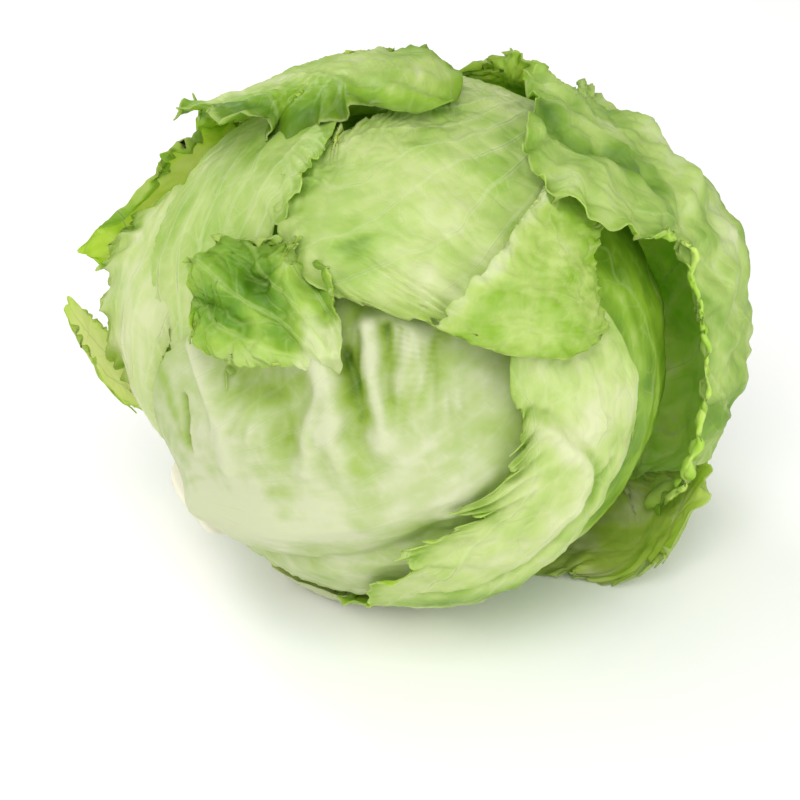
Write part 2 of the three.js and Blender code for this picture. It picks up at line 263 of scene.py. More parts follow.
@dataclass(frozen=True)
class Growth:
    """What all the leaves have in common. Lengths are in millimetres, and the rest are shares."""

    corner_power: float = 2.5       # above 1, how suddenly the corners of a tip fall back
    thick_edge: float = 0.4
    thick_midrib: float = 0.9
    thick_reach: float = 25.0       # how far from the margin a blade is fully thick
    midrib_width: float = 5.0
    vein_width: float = 0.9
    crowding: float = 1.2           # above 1, how much closer the mesh columns lie at the margins
    edge_ease: float = 18.0         # how softly a free edge joins the plain outline
    edge_step: float = 0.5          # spacing of the places at which a free edge is known
    edge_bow: float = 5.0           # what straying from the plain outline costs when an edge is traced
    tooth_drift: float = 1.2        # how unevenly the teeth are spaced
    notch_power: float = 1.5        # above 1, how narrow the notches between the teeth are
    notch_depth: float = 1.05       # depth of the deepest notch, as a share of the margin's teeth
    least_notch: float = 0.35       # depth of the shallowest, as a share of the deepest
    jag: float = 0.25               # depth of the small jags on the teeth
    tooth_wear: float = 0.1         # how far even the tips of the teeth are cut back
    lobe_bias: float = 0.4          # above 0, how much more the lobes cut in than stand out
    ruffle_drift: float = 2.2       # how unevenly the ruffle's waves are spaced
    ruffle_fall: float = 1.4        # above 1, how suddenly the ruffle ends inwards
    close: float = 0.45             # share of the ruffle's reach that its fine part takes
    least_gust: float = 0.3         # how strong the ruffle is where it is weakest
    gust: float = 0.9               # how much stronger it is elsewhere
    swing: float = 0.75             # height of the broad waves, as a share of the ruffle
    swing_rise: float = 0.4         # how far they stand off rather than dip
    flick: float = 0.8              # height of the fine waves
    frill: float = 0.5              # height of the finest
    frill_size: float = 4.6         # width of the finest
    frill_reach: float = 3.5        # how far the finest come in
    dome_reach: float = 1.1         # how far from its border a blister is full
    dome: float = 1.5               # height of the blisters, as a share of the leaf's pucker
    relief_drift: float = 0.7       # how far reliefs stray from their paths
    cell: float = 9.5               # width of the broad blisters
    small_cell: float = 5.2         # width of the small ones
    cell_drift: float = 2.2         # how far their borders stray
    fold: float = 22.0              # width of the broad folds
    glow_reach: float = 4.5         # how far the painted glow of the rim comes in


GROWTH = Growth()


class Draw(IntEnum):
    """Which draw, counted from a leaf's seed, each kind of irregularity comes from."""

    TOOTH_SPACING = 1
    JAG = 2
    RUFFLE_SPACING = 3
    FLICK = 4
    VEIN_SWAY = 5
    SHADE = 7
    SMALL_SHADE = 8
    GUST = 9
    TOOTH_DEPTH = 10
    LOBE = 11
    FRILL = 12
    VEIN_TREMBLE = 13
    BLISTER = 14
    FOLD = 16
    SMALL_FOLD = 17
    STREAK = 18
    RELIEF = 21


class Blade:
    """Turns a leaf's sections into a finished surface."""

    def __init__(self, leaf: Leaf, head: Head, seed: int) -> None:
        """Prepares the blade.

        Args:
            leaf: The leaf to lay.
            head: What it is laid on.
            seed: What its small differences are drawn from.
        """
        self.leaf = leaf
        self.head = head
        self.seed = seed
        rows = leaf.sections
        self.ways = bearing(*np.array([(r.azimuth, r.elevation) for r in rows], float).T)
        self.sizes = np.array([(*r.out, *r.wide, *r.turn) for r in rows], float)
        path = unit(splined(self.ways, np.linspace(0, 1, 41)))
        points = path * head.reach(path)[:, None]
        self.length = np.linalg.norm(np.diff(points, axis=0), axis=1).sum()
        self.halves = self.sizes[-3:, 3:5].mean(0)
        self.front = min(self.halves.mean(), 0.55 * self.length)
        self.centre = 1 - self.front / self.length

    def noise(self, draw: Draw, points: np.ndarray, size: float, count: int = WAVE_COUNT) -> np.ndarray:
        """This leaf's noise of one kind, with features of about the given size."""
        return Waves(self.seed + draw, points.shape[-1], count).at(points, size)

    def stray(self, draw: Draw, points: np.ndarray, size: float) -> np.ndarray:
        """This leaf's noise of one kind, drawn once for each coordinate of the points."""
        width = points.shape[-1]
        return np.stack([Waves(self.seed + draw + k, width).at(points, size) for k in range(width)], -1)

    def lay(self, along: np.ndarray, across: np.ndarray) -> dict[str, np.ndarray]:
        """Points of the middle surface.

        Args:
            along: 0 at the base to 1 at the tip.
            across: -1 at the left margin to 1 at the right one.

        Returns:
            The points and what the finish needs to know about each.
        """
        leaf, head = self.leaf, self.head
        shape, along, across = along.shape, along.ravel(), across.ravel()
        on_left = across < 0
        cut = np.where(on_left, *leaf.cut)
        place = along * (1 - cut * np.abs(across) ** GROWTH.corner_power)
        centre = unit(splined(self.ways, place))
        left_out, out, right_out, left_wide, right_wide, left_turn, right_turn = splined(self.sizes, place).T
        heading = unit(splined(self.ways, place + 1e-3)) - unit(splined(self.ways, place - 1e-3))
        heading = unit(heading - centre * (heading * centre).sum(-1, keepdims=True))
        sideways = np.cross(centre, heading) * np.where(on_left, 1, -1)[:, None]
        wide = np.where(on_left, left_wide, right_wide)
        reach = wide * np.abs(across)
        angle = (reach / (head.reach(centre) + out))[:, None]
        direction = centre * np.cos(angle) + sideways * np.sin(angle)
        outward = sideways * np.cos(angle) - centre * np.sin(angle)
        stand = out + (np.where(on_left, left_out, right_out) - out) * across ** 2
        point = direction * (head.reach(direction) + stand)[:, None]
        floor = np.maximum(HEART_REST - stand, LAID_HALF) - head.centre[2]
        point[:, 2] = np.maximum(point[:, 2], floor)
        turned = np.clip(leaf.roll - (wide - reach), 0, wide)
        turn = np.where(on_left, left_turn, right_turn)
        shift, rise = self.arc(turned, turn, leaf.roll)
        point += outward * shift + direction * rise
        if any(leaf.tip_turn):
            tip = leaf.tip_turn[0] + (leaf.tip_turn[1] - leaf.tip_turn[0]) * smooth(-1, 1, across)
            rolled = np.clip(leaf.tip_roll - (1 - along) * self.length, 0, None)
            shift, rise = self.arc(rolled, tip, leaf.tip_roll)
            point += heading * shift + direction * rise
        result = {
            "point": point + head.centre, "direction": direction, "across": np.sign(across) * reach,
            "along": place * self.length, "wide": wide,
        }
        return {key: value.reshape(*shape, *value.shape[1:]) for key, value in result.items()}

    @staticmethod
    def arc(reach: np.ndarray, bend: np.ndarray, stretch: float) -> tuple[np.ndarray, np.ndarray]:
        """How far points move along and outwards when the last stretch bends through an arc.

        Args:
            reach: How far into the stretch each point lies.
            bend: Degrees that the whole stretch turns through.
            stretch: Its length.

        Returns:
            The moves along and outwards.
        """
        curve = np.radians(bend) / stretch
        curve = np.where(np.abs(curve) < 1e-6, 1e-6, curve)
        angle = curve * reach
        return (np.sin(angle) / curve - reach)[:, None], ((1 - np.cos(angle)) / curve)[:, None]

    def rows(self) -> np.ndarray:
        """Spaces the mesh rows evenly along the longest side of the blade.

        Returns:
            The place of each row, 0 at the base to 1 at the tip.
        """
        place = np.linspace(0, 1, 161)
        sides = [self.lay(place[:, None], np.full((len(place), 1), float(side))) for side in (-1, 0, 1)]
        strides = [np.linalg.norm(np.diff(side["point"][:, 0], axis=0), axis=1) for side in sides]
        run = np.concatenate([[0], np.cumsum(np.max(strides, axis=0))])
        count = max(int(run[-1] / self.leaf.grain), 12)
        return np.interp(np.linspace(0, run[-1], count + 1), run, place)

    def columns(self) -> np.ndarray:
        """Spaces the mesh columns, closer together towards the margins.

        Returns:
            The place of each column, -1 at the left margin to 1 at the right one.
        """
        widest = self.sizes[:, 3:5].sum(1).max()
        count = 2 * max(int(widest / self.leaf.grain / 2), 8)
        ramp = np.linspace(-1, 1, count + 1)
        return np.sign(ramp) * (1 - (1 - np.abs(ramp)) ** GROWTH.crowding)

    def measure(self, along: np.ndarray, across: np.ndarray) -> tuple[np.ndarray, ...]:
        """Where places lie with respect to the margin.

        Args:
            along: Places from base to tip.
            across: Places from the left margin to the right one.

        Returns:
            How far out each is and how far out the plain outline passes there, its bearing seen from
            the tip's centre, and its distance round the margin.
        """
        power, side = self.leaf.corner, np.abs(across)
        forward = np.clip((along - self.centre) / (1 - self.centre), 0, None)
        square = np.maximum(side, forward)
        rounded = (side ** power + forward ** power) ** (1 / power)
        half = np.where(across < 0, *self.halves)
        bow = np.arctan2(side * half, forward * self.front + 1e-9)
        on_tip = side / np.maximum(forward, 1e-9) * half
        on_side = half + (1 - forward / np.maximum(side, 1e-9)) * self.front
        behind = np.clip(self.centre - along, 0, None) * self.length
        around = np.sign(across) * (np.where(forward >= side, on_tip, on_side) + behind)
        return square, square / np.maximum(rounded, 1e-9), bow, around

    def trace(self) -> tuple[np.ndarray, ...]:
        """How far the free edge departs from the plain outline.

        Returns:
            Distances round the plain outline, shares of its radius, and how deep the teeth may be.
        """
        ease, step = GROWTH.edge_ease, GROWTH.edge_step
        along, across = np.meshgrid(np.linspace(0.1, 1.14, 157), np.linspace(-1.3, 1.3, 157), indexing="ij")
        square, plain_edge, _, around = self.measure(along, across)
        seen = unit(self.lay(along, across)["point"] - self.head.centre)
        found = []
        for stop in self.leaf.edge:
            miss = np.linalg.norm(seen - bearing(*stop), axis=-1) * self.head.radii[0]
            miss = miss + GROWTH.edge_bow * np.abs(square - 1)
            best = np.unravel_index(np.argmin(miss), miss.shape)
            found.append((around[best], square[best] - plain_edge[best]))
        found = np.array(sorted(found))
        where = np.concatenate([[found[0, 0] - ease], found[:, 0], [found[-1, 0] + ease]])
        steps = np.arange(where[0] - ease, where[-1] + ease, step)
        shares = np.interp(steps, where, [0, *found[:, 1], 0])
        soft = np.exp(-((np.arange(-24, 25) * step / self.leaf.soften) ** 2))
        shares = np.convolve(shares, soft / soft.sum(), "same")
        slant = np.gradient(shares, step) * self.halves.mean()
        return steps, shares, 1 / (1 + 2 * slant ** 2)

    def outline(self, along: np.ndarray, across: np.ndarray) -> tuple[np.ndarray, ...]:
        """Rounds the tip, follows the free edge and cuts the teeth.

        Args:
            along: Mesh rows, 0 to 1.
            across: Mesh columns, -1 to 1.

        Returns:
            The moved rows and columns, the distance round the margin, how free each spot's side is and
            how far it is from the margin.
        """
        margin = self.leaf.margin
        square, limit, bow, around = self.measure(along, across)
        depth = 1.0
        if self.leaf.edge:
            steps, shares, keep = self.trace()
            limit = limit + np.interp(around, steps, shares)
            depth = np.interp(around, steps, keep)
        wide = splined(self.sizes, along[:, 0])[:, 3:5]
        wide = np.where(across < 0, wide[:, :1], wide[:, 1:])
        left, tip, right = margin.sides
        side = np.where(across < 0, left, right) * np.sin(bow) ** 2 + tip * np.cos(bow) ** 2
        side = side * smooth(margin.start, margin.start + 0.2, along)
        radius = np.hypot(np.sin(bow) * wide, np.cos(bow) * self.front)
        shrink = 1 + (limit - 1) * square ** 2.5 - self.bite(around, depth) * side / radius * square ** 4
        gap = (1 - square) * radius
        moved = np.where(along > self.centre, self.centre + (along - self.centre) * shrink, along)
        return moved, across * shrink, around, side, gap

    def bite(self, around: np.ndarray, depth: np.ndarray | float) -> np.ndarray:
        """How deep the teeth and lobes cut in, by the distance round the margin.

        Args:
            around: Distances round the margin.
            depth: How deep the teeth may be there, as a share of their full depth.

        Returns:
            The depth of the cut.
        """
        grow, margin, line = GROWTH, self.leaf.margin, around[..., None]
        spacing = self.noise(Draw.TOOTH_SPACING, line, margin.pitch * 5) * grow.tooth_drift
        notch = 1 - np.abs(np.sin(math.pi * around / margin.pitch + spacing))
        jag = self.noise(Draw.JAG, line, margin.pitch * 0.55)
        uneven = self.noise(Draw.TOOTH_DEPTH, line, margin.pitch * 3) ** 2
        deep = grow.least_notch + (1 - grow.least_notch) * uneven
        teeth = grow.notch_depth * notch ** grow.notch_power * deep + grow.jag * jag + grow.tooth_wear
        lobes = self.noise(Draw.LOBE, line, margin.pitch * 4) + grow.lobe_bias
        return margin.tooth * teeth * depth + margin.lobe * lobes

    def relief(self, directions: np.ndarray, relief: Relief) -> np.ndarray:
        """Strength of a relief.

        Args:
            directions: Where to read it, seen from the head's centre.
            relief: The ridge, groove or hollow.

        Returns:
            Its strength, 0 to 1, for each direction.
        """
        scale = self.head.radii.mean()
        stops = [bearing(*stop) * scale for stop in relief.path]
        points = directions * scale
        points = points + GROWTH.relief_drift * self.stray(Draw.RELIEF, points, 16)
        nearest = np.full(points.shape[:-1], 1e9)
        passed = np.zeros(points.shape[:-1])
        for index, (start, end) in enumerate(zip(stops, stops[1:] or stops)):
            step = end - start
            share = np.clip(((points - start) @ step) / max(step @ step, 1e-9), 0, 1)
            away = np.linalg.norm(points - start - share[..., None] * step, axis=-1)
            passed = np.where(away < nearest, (index + share) / max(len(stops) - 1, 1), passed)
            nearest = np.minimum(nearest, away)
        fade = relief.fade * smooth(0.1, 1, passed)
        return np.exp(-((nearest / relief.width / (1 + 0.6 * fade)) ** 2)) * (1 - fade)

    def ruffle(self, around: np.ndarray, side: np.ndarray, edge: np.ndarray) -> tuple[np.ndarray, ...]:
        """The ruffle and the frill of a free margin.

        Args:
            around: Distances round the margin.
            side: How free the margin is.
            edge: Distances from the margin.

        Returns:
            The height, a measure of how the margin is folded, which paints shade into its troughs and light
            onto its crests, and how close each spot is to it.
        """
        grow, margin, line = GROWTH, self.leaf.margin, around[..., None]
        near = np.exp(-((edge / margin.reach) ** grow.ruffle_fall)) * side
        close = np.exp(-((edge / (margin.reach * grow.close)) ** grow.ruffle_fall)) * side
        spacing = self.noise(Draw.RUFFLE_SPACING, line, margin.wave * 3) * grow.ruffle_drift
        gust = grow.least_gust + grow.gust * np.abs(self.noise(Draw.GUST, line, margin.wave * 2.4))
        swing = np.sin(2 * math.pi * around / margin.wave + spacing) * gust
        flick = self.noise(Draw.FLICK, np.stack([around, edge * 0.35], -1), margin.wave * 0.42)
        height = near * margin.ruffle * (grow.swing * swing + grow.swing_rise)
        height = height + close * margin.ruffle * grow.flick * flick * gust
        height += close * margin.lift
        frill = self.noise(Draw.FRILL, np.stack([around, edge * 0.5], -1), grow.frill_size, 20)
        height += np.exp(-((edge / grow.frill_reach) ** 1.5)) * side * margin.ruffle * grow.frill * frill
        folded = near * grow.swing * swing + close * (grow.flick * flick * gust + 0.4 * frill)
        return height, folded, close

    def veins(self, x: np.ndarray, y: np.ndarray) -> tuple[np.ndarray, ...]:
        """The veins, which fan out from behind the base.

        Args:
            x: Distances from the midrib.
            y: Distances from the base.

        Returns:
            Which vein each spot is by, in parts of a vein, the distance between veins, how far each spot
            is from the nearest, and how strong the vein is there.
        """
        count, back = self.leaf.fan
        flat = np.stack([x, y], -1)
        radius = np.hypot(x, y + back)
        sway = self.noise(Draw.VEIN_SWAY, flat, 50) * 0.3 + self.noise(Draw.VEIN_TREMBLE, flat, 18) * 0.06
        fan = np.arctan2(x, y + back) * count + sway
        pitch = radius / count
        line = np.abs(fan - np.round(fan)) * pitch
        share = y / self.length
        strength = smooth(0, 0.12, share) * (1 - 0.5 * smooth(0.5, 1, share)) * smooth(1.5, 4.5, pitch)
        return fan, pitch, line, strength

    def finished(self) -> dict[str, np.ndarray]:
        """Lays the blade and gives it its margin, veins, blisters, folds and shades.

        Returns:
            The points of the outer and the lower side, and the numbers that the finishing tree and the
            material read at each.
        """
        leaf = self.leaf
        along, across = np.meshgrid(self.rows(), self.columns(), indexing="ij")
        along, across, around, side, edge = self.outline(along, across)
        laid = self.lay(along, across)
        point, x, y = laid["point"], laid["across"], laid["along"]
        normal = self.normals(point)
        share = y / self.length
        flat = np.stack([x, y], -1)

        height, folded, close = self.ruffle(around, side, edge)
        fan, pitch, line, strength = self.veins(x, y)
        height += leaf.rib * np.exp(-((line / GROWTH.vein_width) ** 2)) * strength
        middle = np.exp(-((x / GROWTH.midrib_width) ** 2)) * (1 - smooth(0.1, 0.95, share))
        height += leaf.midrib * middle
        bent = flat * (1, 0.75) + GROWTH.cell_drift * self.stray(Draw.BLISTER, flat, 15)
        small = 0.25 + 1.3 * cells(bent, GROWTH.small_cell, self.seed + 1)
        border = np.minimum(cells(bent, GROWTH.cell, self.seed), small)
        dome = 1 - np.exp(-border / GROWTH.dome_reach)
        grown = smooth(0.08, 0.5, share) * (1 - 0.8 * middle)
        height += leaf.pucker * GROWTH.dome * dome * grown
        broad = self.noise(Draw.FOLD, point, GROWTH.fold)
        broad = broad + 0.5 * self.noise(Draw.SMALL_FOLD, point, GROWTH.fold / 2)
        height += leaf.crumple * np.maximum(1.1 * broad + 0.5, -0.4) * grown

        base, blade, rim = leaf.tone
        tone = base + (blade - base) * smooth(0, leaf.pale_reach, share + 0.12 * np.abs(x) / laid["wide"])
        tone = tone + (rim - blade) * close
        tone -= 0.35 * middle * (1 - share)
        tone += 0.12 * self.noise(Draw.SHADE, point, 26) + 0.06 * self.noise(Draw.SMALL_SHADE, point, 10)
        tone += 0.06 * self.noise(Draw.STREAK, np.stack([fan * 2.0, y * 0.12], -1), 3.0)
        # Blister middles are greener than their borders; the last term is painted shade and light, darker in
        # the ruffle's troughs and paler on its crests.
        tone += (0.12 * dome - 0.08) * grown - 0.13 * folded
        for entry in leaf.reliefs:
            weight = self.relief(laid["direction"], entry)
            height += entry.height * weight
            tone += entry.tone * weight

        point = self.eased(point + normal * height[..., None], close)
        thicker = (GROWTH.thick_midrib - GROWTH.thick_edge) * smooth(0, GROWTH.thick_reach, edge)
        thick = GROWTH.thick_edge + thicker
        normal = self.normals(point)
        point[..., 2] = np.maximum(point[..., 2], thick)
        lower = point - normal * thick[..., None]
        lower[..., 2] = np.maximum(lower[..., 2], 0)
        # How much painted glow the rim takes, and how much more light passes through it there.
        glow = np.exp(-((edge / GROWTH.glow_reach) ** 1.3)) * np.clip(side, 0, 1)
        return {
            "upper": point, "lower": lower, "normal": normal, "tone": tone, "glow": glow, "fan": fan,
            "pitch": pitch, "vein": strength, "x": x, "y": y, "border": border,
            "pucker": leaf.pucker * smooth(0, 0.5, share),
        }

    @staticmethod
    def eased(point: np.ndarray, share: np.ndarray) -> np.ndarray:
        """Takes the sharpest kinks out of a grid of points.

        Args:
            point: The grid.
            share: How far each point gives way, 0 to 1.

        Returns:
            The smoother grid.
        """
        soft = point.copy()
        soft[1:-1] = (point[:-2] + 2 * point[1:-1] + point[2:]) / 4
        soft[:, 1:-1] = (soft[:, :-2] + 2 * soft[:, 1:-1] + soft[:, 2:]) / 4
        return point + (soft - point) * np.clip(share, 0, 1)[..., None]

    @staticmethod
    def normals(point: np.ndarray) -> np.ndarray:
        """Unit normals of a grid of points, facing away from the head."""
        return unit(np.cross(np.gradient(point, axis=1), np.gradient(point, axis=0)))


def paint(red: int, green: int, blue: int) -> tuple[float, float, float, float]:
    """A colour as the shader wants it, from the usual 0 to 255 values."""
    return (*(((c / 255 + 0.055) / 1.055) ** 2.4 for c in (red, green, blue)), 1.0)


class Web:
    """Adds nodes to a tree and links them as they are made."""

    def __init__(self, tree: bpy.types.NodeTree) -> None:
        """Works on the given tree."""
        self.tree = tree

    def add(self, kind: str, settings: dict | None = None, **inputs: object) -> bpy.types.Node:
        """Makes a node.

        Args:
            kind: The node's type.
            settings: Its properties.
            **inputs: Values or sockets for its inputs, with _ for a space in the name.

        Returns:
            The new node.
        """
        node = self.tree.nodes.new(kind)
        for key, value in (settings or {}).items():
            setattr(node, key, value)
        for key, value in inputs.items():
            self.put(node.inputs[key.replace("_", " ")], value)
        return node

    def put(self, socket: bpy.types.NodeSocket, value: object) -> None:
        """Links a socket or sets its value.

        Args:
            socket: The input.
            value: An output to link it to, or a plain value.
        """
        if isinstance(value, bpy.types.NodeSocket):
            self.tree.links.new(value, socket)
        else:
            socket.default_value = value

    def math(self, operation: str, *values: object) -> bpy.types.NodeSocket:
        """Adds a math node.

        Args:
            operation: What it works out.
            *values: Values or sockets for its inputs, in order.

        Returns:
            Its result.
        """
        node = self.tree.nodes.new("ShaderNodeMath")
        node.operation = operation
        for socket, value in zip(node.inputs, values):
            self.put(socket, value)
        return node.outputs[0]

    def plus(self, first: object, second: object) -> bpy.types.NodeSocket:
        """The sum of two values."""
        return self.math("ADD", first, second)

    def less(self, first: object, second: object) -> bpy.types.NodeSocket:
        """The first value less the second."""
        return self.math("SUBTRACT", first, second)

    def times(self, first: object, second: object) -> bpy.types.NodeSocket:
        """The product of two values."""
        return self.math("MULTIPLY", first, second)

    def mix(self, share: object, first: object, second: object) -> bpy.types.NodeSocket:
        """Blends two colours.

        Args:
            share: How much of the second there is.
            first: The colour where the share is 0.
            second: The colour where it is 1.

        Returns:
            The blend.
        """
        node = self.add("ShaderNodeMix", {"data_type": "RGBA"})
        for index, value in ((0, share), (6, first), (7, second)):
            self.put(node.inputs[index], value)
        return node.outputs[2]

    def fade(self, value: object, low: float, high: float) -> bpy.types.NodeSocket:
        """Eases a value down.

        Args:
            value: What is eased.
            low: Where the result is 1.
            high: Where it is 0.

        Returns:
            The eased value.
        """
        node = self.add("ShaderNodeMapRange", {"interpolation_type": "SMOOTHSTEP"}, Value=value)
        for name, number in (("From Min", low), ("From Max", high), ("To Min", 1.0), ("To Max", 0.0)):
            node.inputs[name].default_value = number
        return node.outputs[0]

    def ramp(self, value: object, stops: tuple) -> bpy.types.NodeSocket:
        """Adds a colour ramp.

        Args:
            value: Where on the ramp to read.
            stops: Pairs of (place, colour).

        Returns:
            The colour.
        """
        node = self.add("ShaderNodeValToRGB", None, Fac=value)
        points = node.color_ramp.elements
        while len(points) < len(stops):
            points.new(0.5)
        for point, (place, colour) in zip(points, stops):
            point.position, point.color = place, colour
        return node.outputs[0]

    def noise(self, place: object, scale: float, detail: float) -> bpy.types.NodeSocket:
        """A noise texture read at a place."""
        return self.add("ShaderNodeTexNoise", None, Vector=place, Scale=scale, Detail=detail).outputs[0]

    def read(self, attribute: str) -> bpy.types.NodeSocket:
        """One of the numbers kept on a piece's mesh."""
        return self.add("ShaderNodeAttribute", {"attribute_name": attribute}).outputs["Fac"]

    def surface(self, shader: bpy.types.NodeSocket) -> None:
        """Ends a material's tree with its surface."""
        out = self.add("ShaderNodeOutputMaterial")
        self.put(out.inputs[0], shader)


def bare_skin(name: str) -> tuple[bpy.types.Material, Web]:
    """Starts a material.

    Args:
        name: What to call it.

    Returns:
        The material with an empty tree, and the web that fills it.
    """
    material = bpy.data.materials.new(name)
    material.use_nodes = True
    web = Web(material.node_tree)
    web.tree.nodes.clear()
    return material, web


@dataclass(frozen=True)
class LeafPaint:
    """The colours and gloss of one kind of leaf surface."""

    outside: tuple
    inside: tuple
    vein: tuple
    vein_strength: float
    rough: float = 0.42
    through: float = 0.3         # share of the light that passes through the blade
    thread: float = 0.6          # how dark the thread in the middle of each vein is
    mottle: float = 0.26         # how much the tone varies from spot to spot
    streak: float = 0.34         # how much it varies in streaks along the blade
    branch_gap: float = 8.5      # distance between side veins, in millimetres
    branch_slope: float = 1.15   # how steeply they rise from their vein
    rim: tuple = paint(186, 216, 84)            # painted glow of light through the thin margin, which the blade turns towards near a free edge
    painted_edge_light: tuple = paint(222, 236, 156)      # painted bright line of light along the very edge
    vein_shade: tuple = paint(84, 116, 44)      # what the threads darken towards

    def build(self, name: str) -> bpy.types.Material:
        """Makes the material.

        Args:
            name: What to call it.

        Returns:
            The new material.
        """
        material, web = bare_skin(name)
        place = web.add("ShaderNodeTexCoord").outputs["Object"]
        flat = web.add("ShaderNodeUVMap", {"uv_map": "leaf"}).outputs[0]
        mottle = web.noise(place, scale=160.0, detail=4.0)
        streak = web.add("ShaderNodeMapping", None, Vector=flat, Scale=(9.0, 1.6, 1.0)).outputs[0]
        streak = web.noise(streak, scale=2.2, detail=3.0)
        tone = web.plus(web.read("tone"), web.times(web.less(mottle, 0.5), self.mottle))
        tone = web.plus(tone, web.times(web.less(streak, 0.5), self.streak))
        grown = web.read("vein")
        veins, thread = self.veins(web, flat, grown)

        colour = web.mix(web.read("inside"), web.ramp(tone, self.outside), web.ramp(tone, self.inside))
        glow = web.read("glow")
        # Painted light: near a free margin the blade is painted yellow-green as if lit through, and its very
        # edge brighter still.
        colour = web.mix(web.times(glow, 0.5), colour, self.rim)
        colour = web.mix(web.times(web.fade(glow, 0.97, 0.8), 0.55), colour, self.painted_edge_light)
        colour = web.mix(veins, colour, self.vein)
        patchy = web.noise(flat, scale=4.0, detail=1.0)
        thread = web.times(web.times(thread, grown), web.fade(patchy, 0.62, 0.4))
        shade = web.mix(0.5, colour, self.vein_shade)
        colour = web.mix(web.times(thread, self.thread), colour, shade)
        grainy = web.noise(place, scale=900.0, detail=3.0)
        relief = web.plus(web.times(veins, 0.5), web.times(grainy, 0.12))
        relief = web.plus(relief, web.times(mottle, 0.5))
        bump = web.add("ShaderNodeBump", None, Strength=0.35, Distance=0.0008, Height=relief).outputs[0]
        web.surface(self.blade(web, colour, bump, glow))
        return material

    def veins(self, web: Web, flat: bpy.types.NodeSocket, grown: bpy.types.NodeSocket) -> tuple:
        """The pale veins and the fine dark thread in the middle of each.

        Args:
            web: The material's tree.
            flat: The place on the flattened leaf.
            grown: How strong the veins are there.

        Returns:
            The strength of the veins and of their threads.
        """
        fan, pitch = web.read("fan"), web.read("pitch")
        nearest = web.math("ROUND", fan)
        aside = web.times(web.math("ABSOLUTE", web.less(fan, nearest)), pitch)
        primary = web.times(web.fade(aside, 0.2, 0.9), grown)
        up = web.times(web.add("ShaderNodeSeparateXYZ", None, Vector=flat).outputs[1], FLAT_SCALE)
        phase = web.math("DIVIDE", web.less(up, web.times(aside, self.branch_slope)), self.branch_gap)
        phase = web.plus(phase, web.times(web.noise(flat, scale=7.0, detail=1.0), 3.0))
        phase = web.plus(phase, web.times(nearest, 0.37))
        beside = web.math("ABSOLUTE", web.less(phase, web.math("ROUND", phase)))
        beside = web.times(beside, 6.0)
        branch = web.times(web.fade(beside, 0.05, 0.42), web.fade(aside, 2.0, 8.0))
        net = web.fade(web.read("border"), 0.08, 0.5)
        veins = web.plus(primary, web.times(branch, web.times(grown, 0.6)))
        veins = web.plus(veins, web.times(web.times(net, grown), 0.35))
        veins = web.times(web.math("MINIMUM", veins, 1.0), self.vein_strength)
        thread = web.math("MAXIMUM", web.fade(aside, 0.08, 0.3), web.times(web.fade(beside, 0.03, 0.16), 0.5))
        return veins, thread

    def blade(
        self, web: Web, colour: bpy.types.NodeSocket, bump: bpy.types.NodeSocket, glow: bpy.types.NodeSocket
    ) -> bpy.types.NodeSocket:
        """The leaf's surface, part of whose light passes through.

        Args:
            web: The material's tree.
            colour: The colour of the blade.
            bump: Its fine relief.
            glow: How close the margin is, where more light passes.

        Returns:
            The surface.
        """
        shader = web.add("ShaderNodeBsdfPrincipled", None, Base_Color=colour, Normal=bump)
        soft = {"Roughness": self.rough, "Specular IOR Level": 0.4, "Subsurface Weight": 0.15}
        soft |= {"Subsurface Scale": 0.002, "Subsurface Radius": (0.7, 1.0, 0.25)}
        for key, value in soft.items():
            shader.inputs[key].default_value = value
        light = web.add("ShaderNodeBsdfTranslucent", None, Color=colour, Normal=bump)
        share = web.plus(web.times(glow, 0.3), self.through)
        both = web.add("ShaderNodeMixShader", None, Fac=share)
        web.put(both.inputs[1], shader.outputs[0])
        web.put(both.inputs[2], light.outputs[0])
        return both.outputs[0]


TONES = (0.0, 0.3, 0.6, 1.0)   # where the four shades of a leaf lie on its scale of tones
RIB_TONES = (0.0, 0.25, 0.55, 1.0)


def shades(*colours: tuple[int, int, int], places: tuple[float, ...] = TONES) -> tuple:
    """Stops of a ramp, from the palest shade of a leaf to the darkest."""
    return tuple((place, paint(*colour)) for place, colour in zip(places, colours))


INSIDE = shades((230, 236, 180), (206, 226, 104), (168, 206, 54), (90, 140, 20))
PAINTS = {
    Finish.RIB: LeafPaint(
        shades((217, 222, 184), (193, 208, 143), (166, 194, 78), (100, 142, 26), places=RIB_TONES),
        INSIDE, paint(228, 234, 196), 0.1, thread=0.15,
    ),
    Finish.PALE: LeafPaint(
        shades((226, 232, 184), (204, 222, 140), (168, 202, 90), (84, 132, 20)),
        INSIDE, paint(228, 238, 184), 0.34,
    ),
    Finish.GREEN: LeafPaint(
        shades((228, 234, 194), (196, 217, 122), (150, 192, 48), (88, 138, 8)),
        INSIDE, paint(210, 228, 150), 0.32,
    ),
    Finish.DEEP: LeafPaint(
        shades((216, 228, 168), (172, 204, 84), (120, 168, 38), (70, 118, 14)),
        INSIDE, paint(196, 220, 126), 0.45,
    ),
    Finish.OUTER: LeafPaint(
        shades((224, 232, 184), (186, 210, 116), (136, 174, 62), (72, 116, 22)),
        # Painted light: these inside shades are brighter than INSIDE, to stand in for light on the shaded
        # inner face of the draped leaf.
        shades((244, 252, 206), (220, 246, 126), (184, 234, 66), (128, 196, 38)),
        paint(206, 224, 150), 0.4, thread=0.3,
    ),
    Finish.SHEER: LeafPaint(
        shades((228, 236, 168), (206, 228, 112), (172, 210, 58), (94, 146, 12)),
        # Painted light: these inside shades are brighter than INSIDE, to stand in for light on the shaded
        # inner faces of the thin fringes.
        shades((248, 250, 208), (228, 244, 132), (192, 226, 62), (118, 172, 26)),
        paint(228, 238, 184), 0.34, through=0.6,
    ),
}


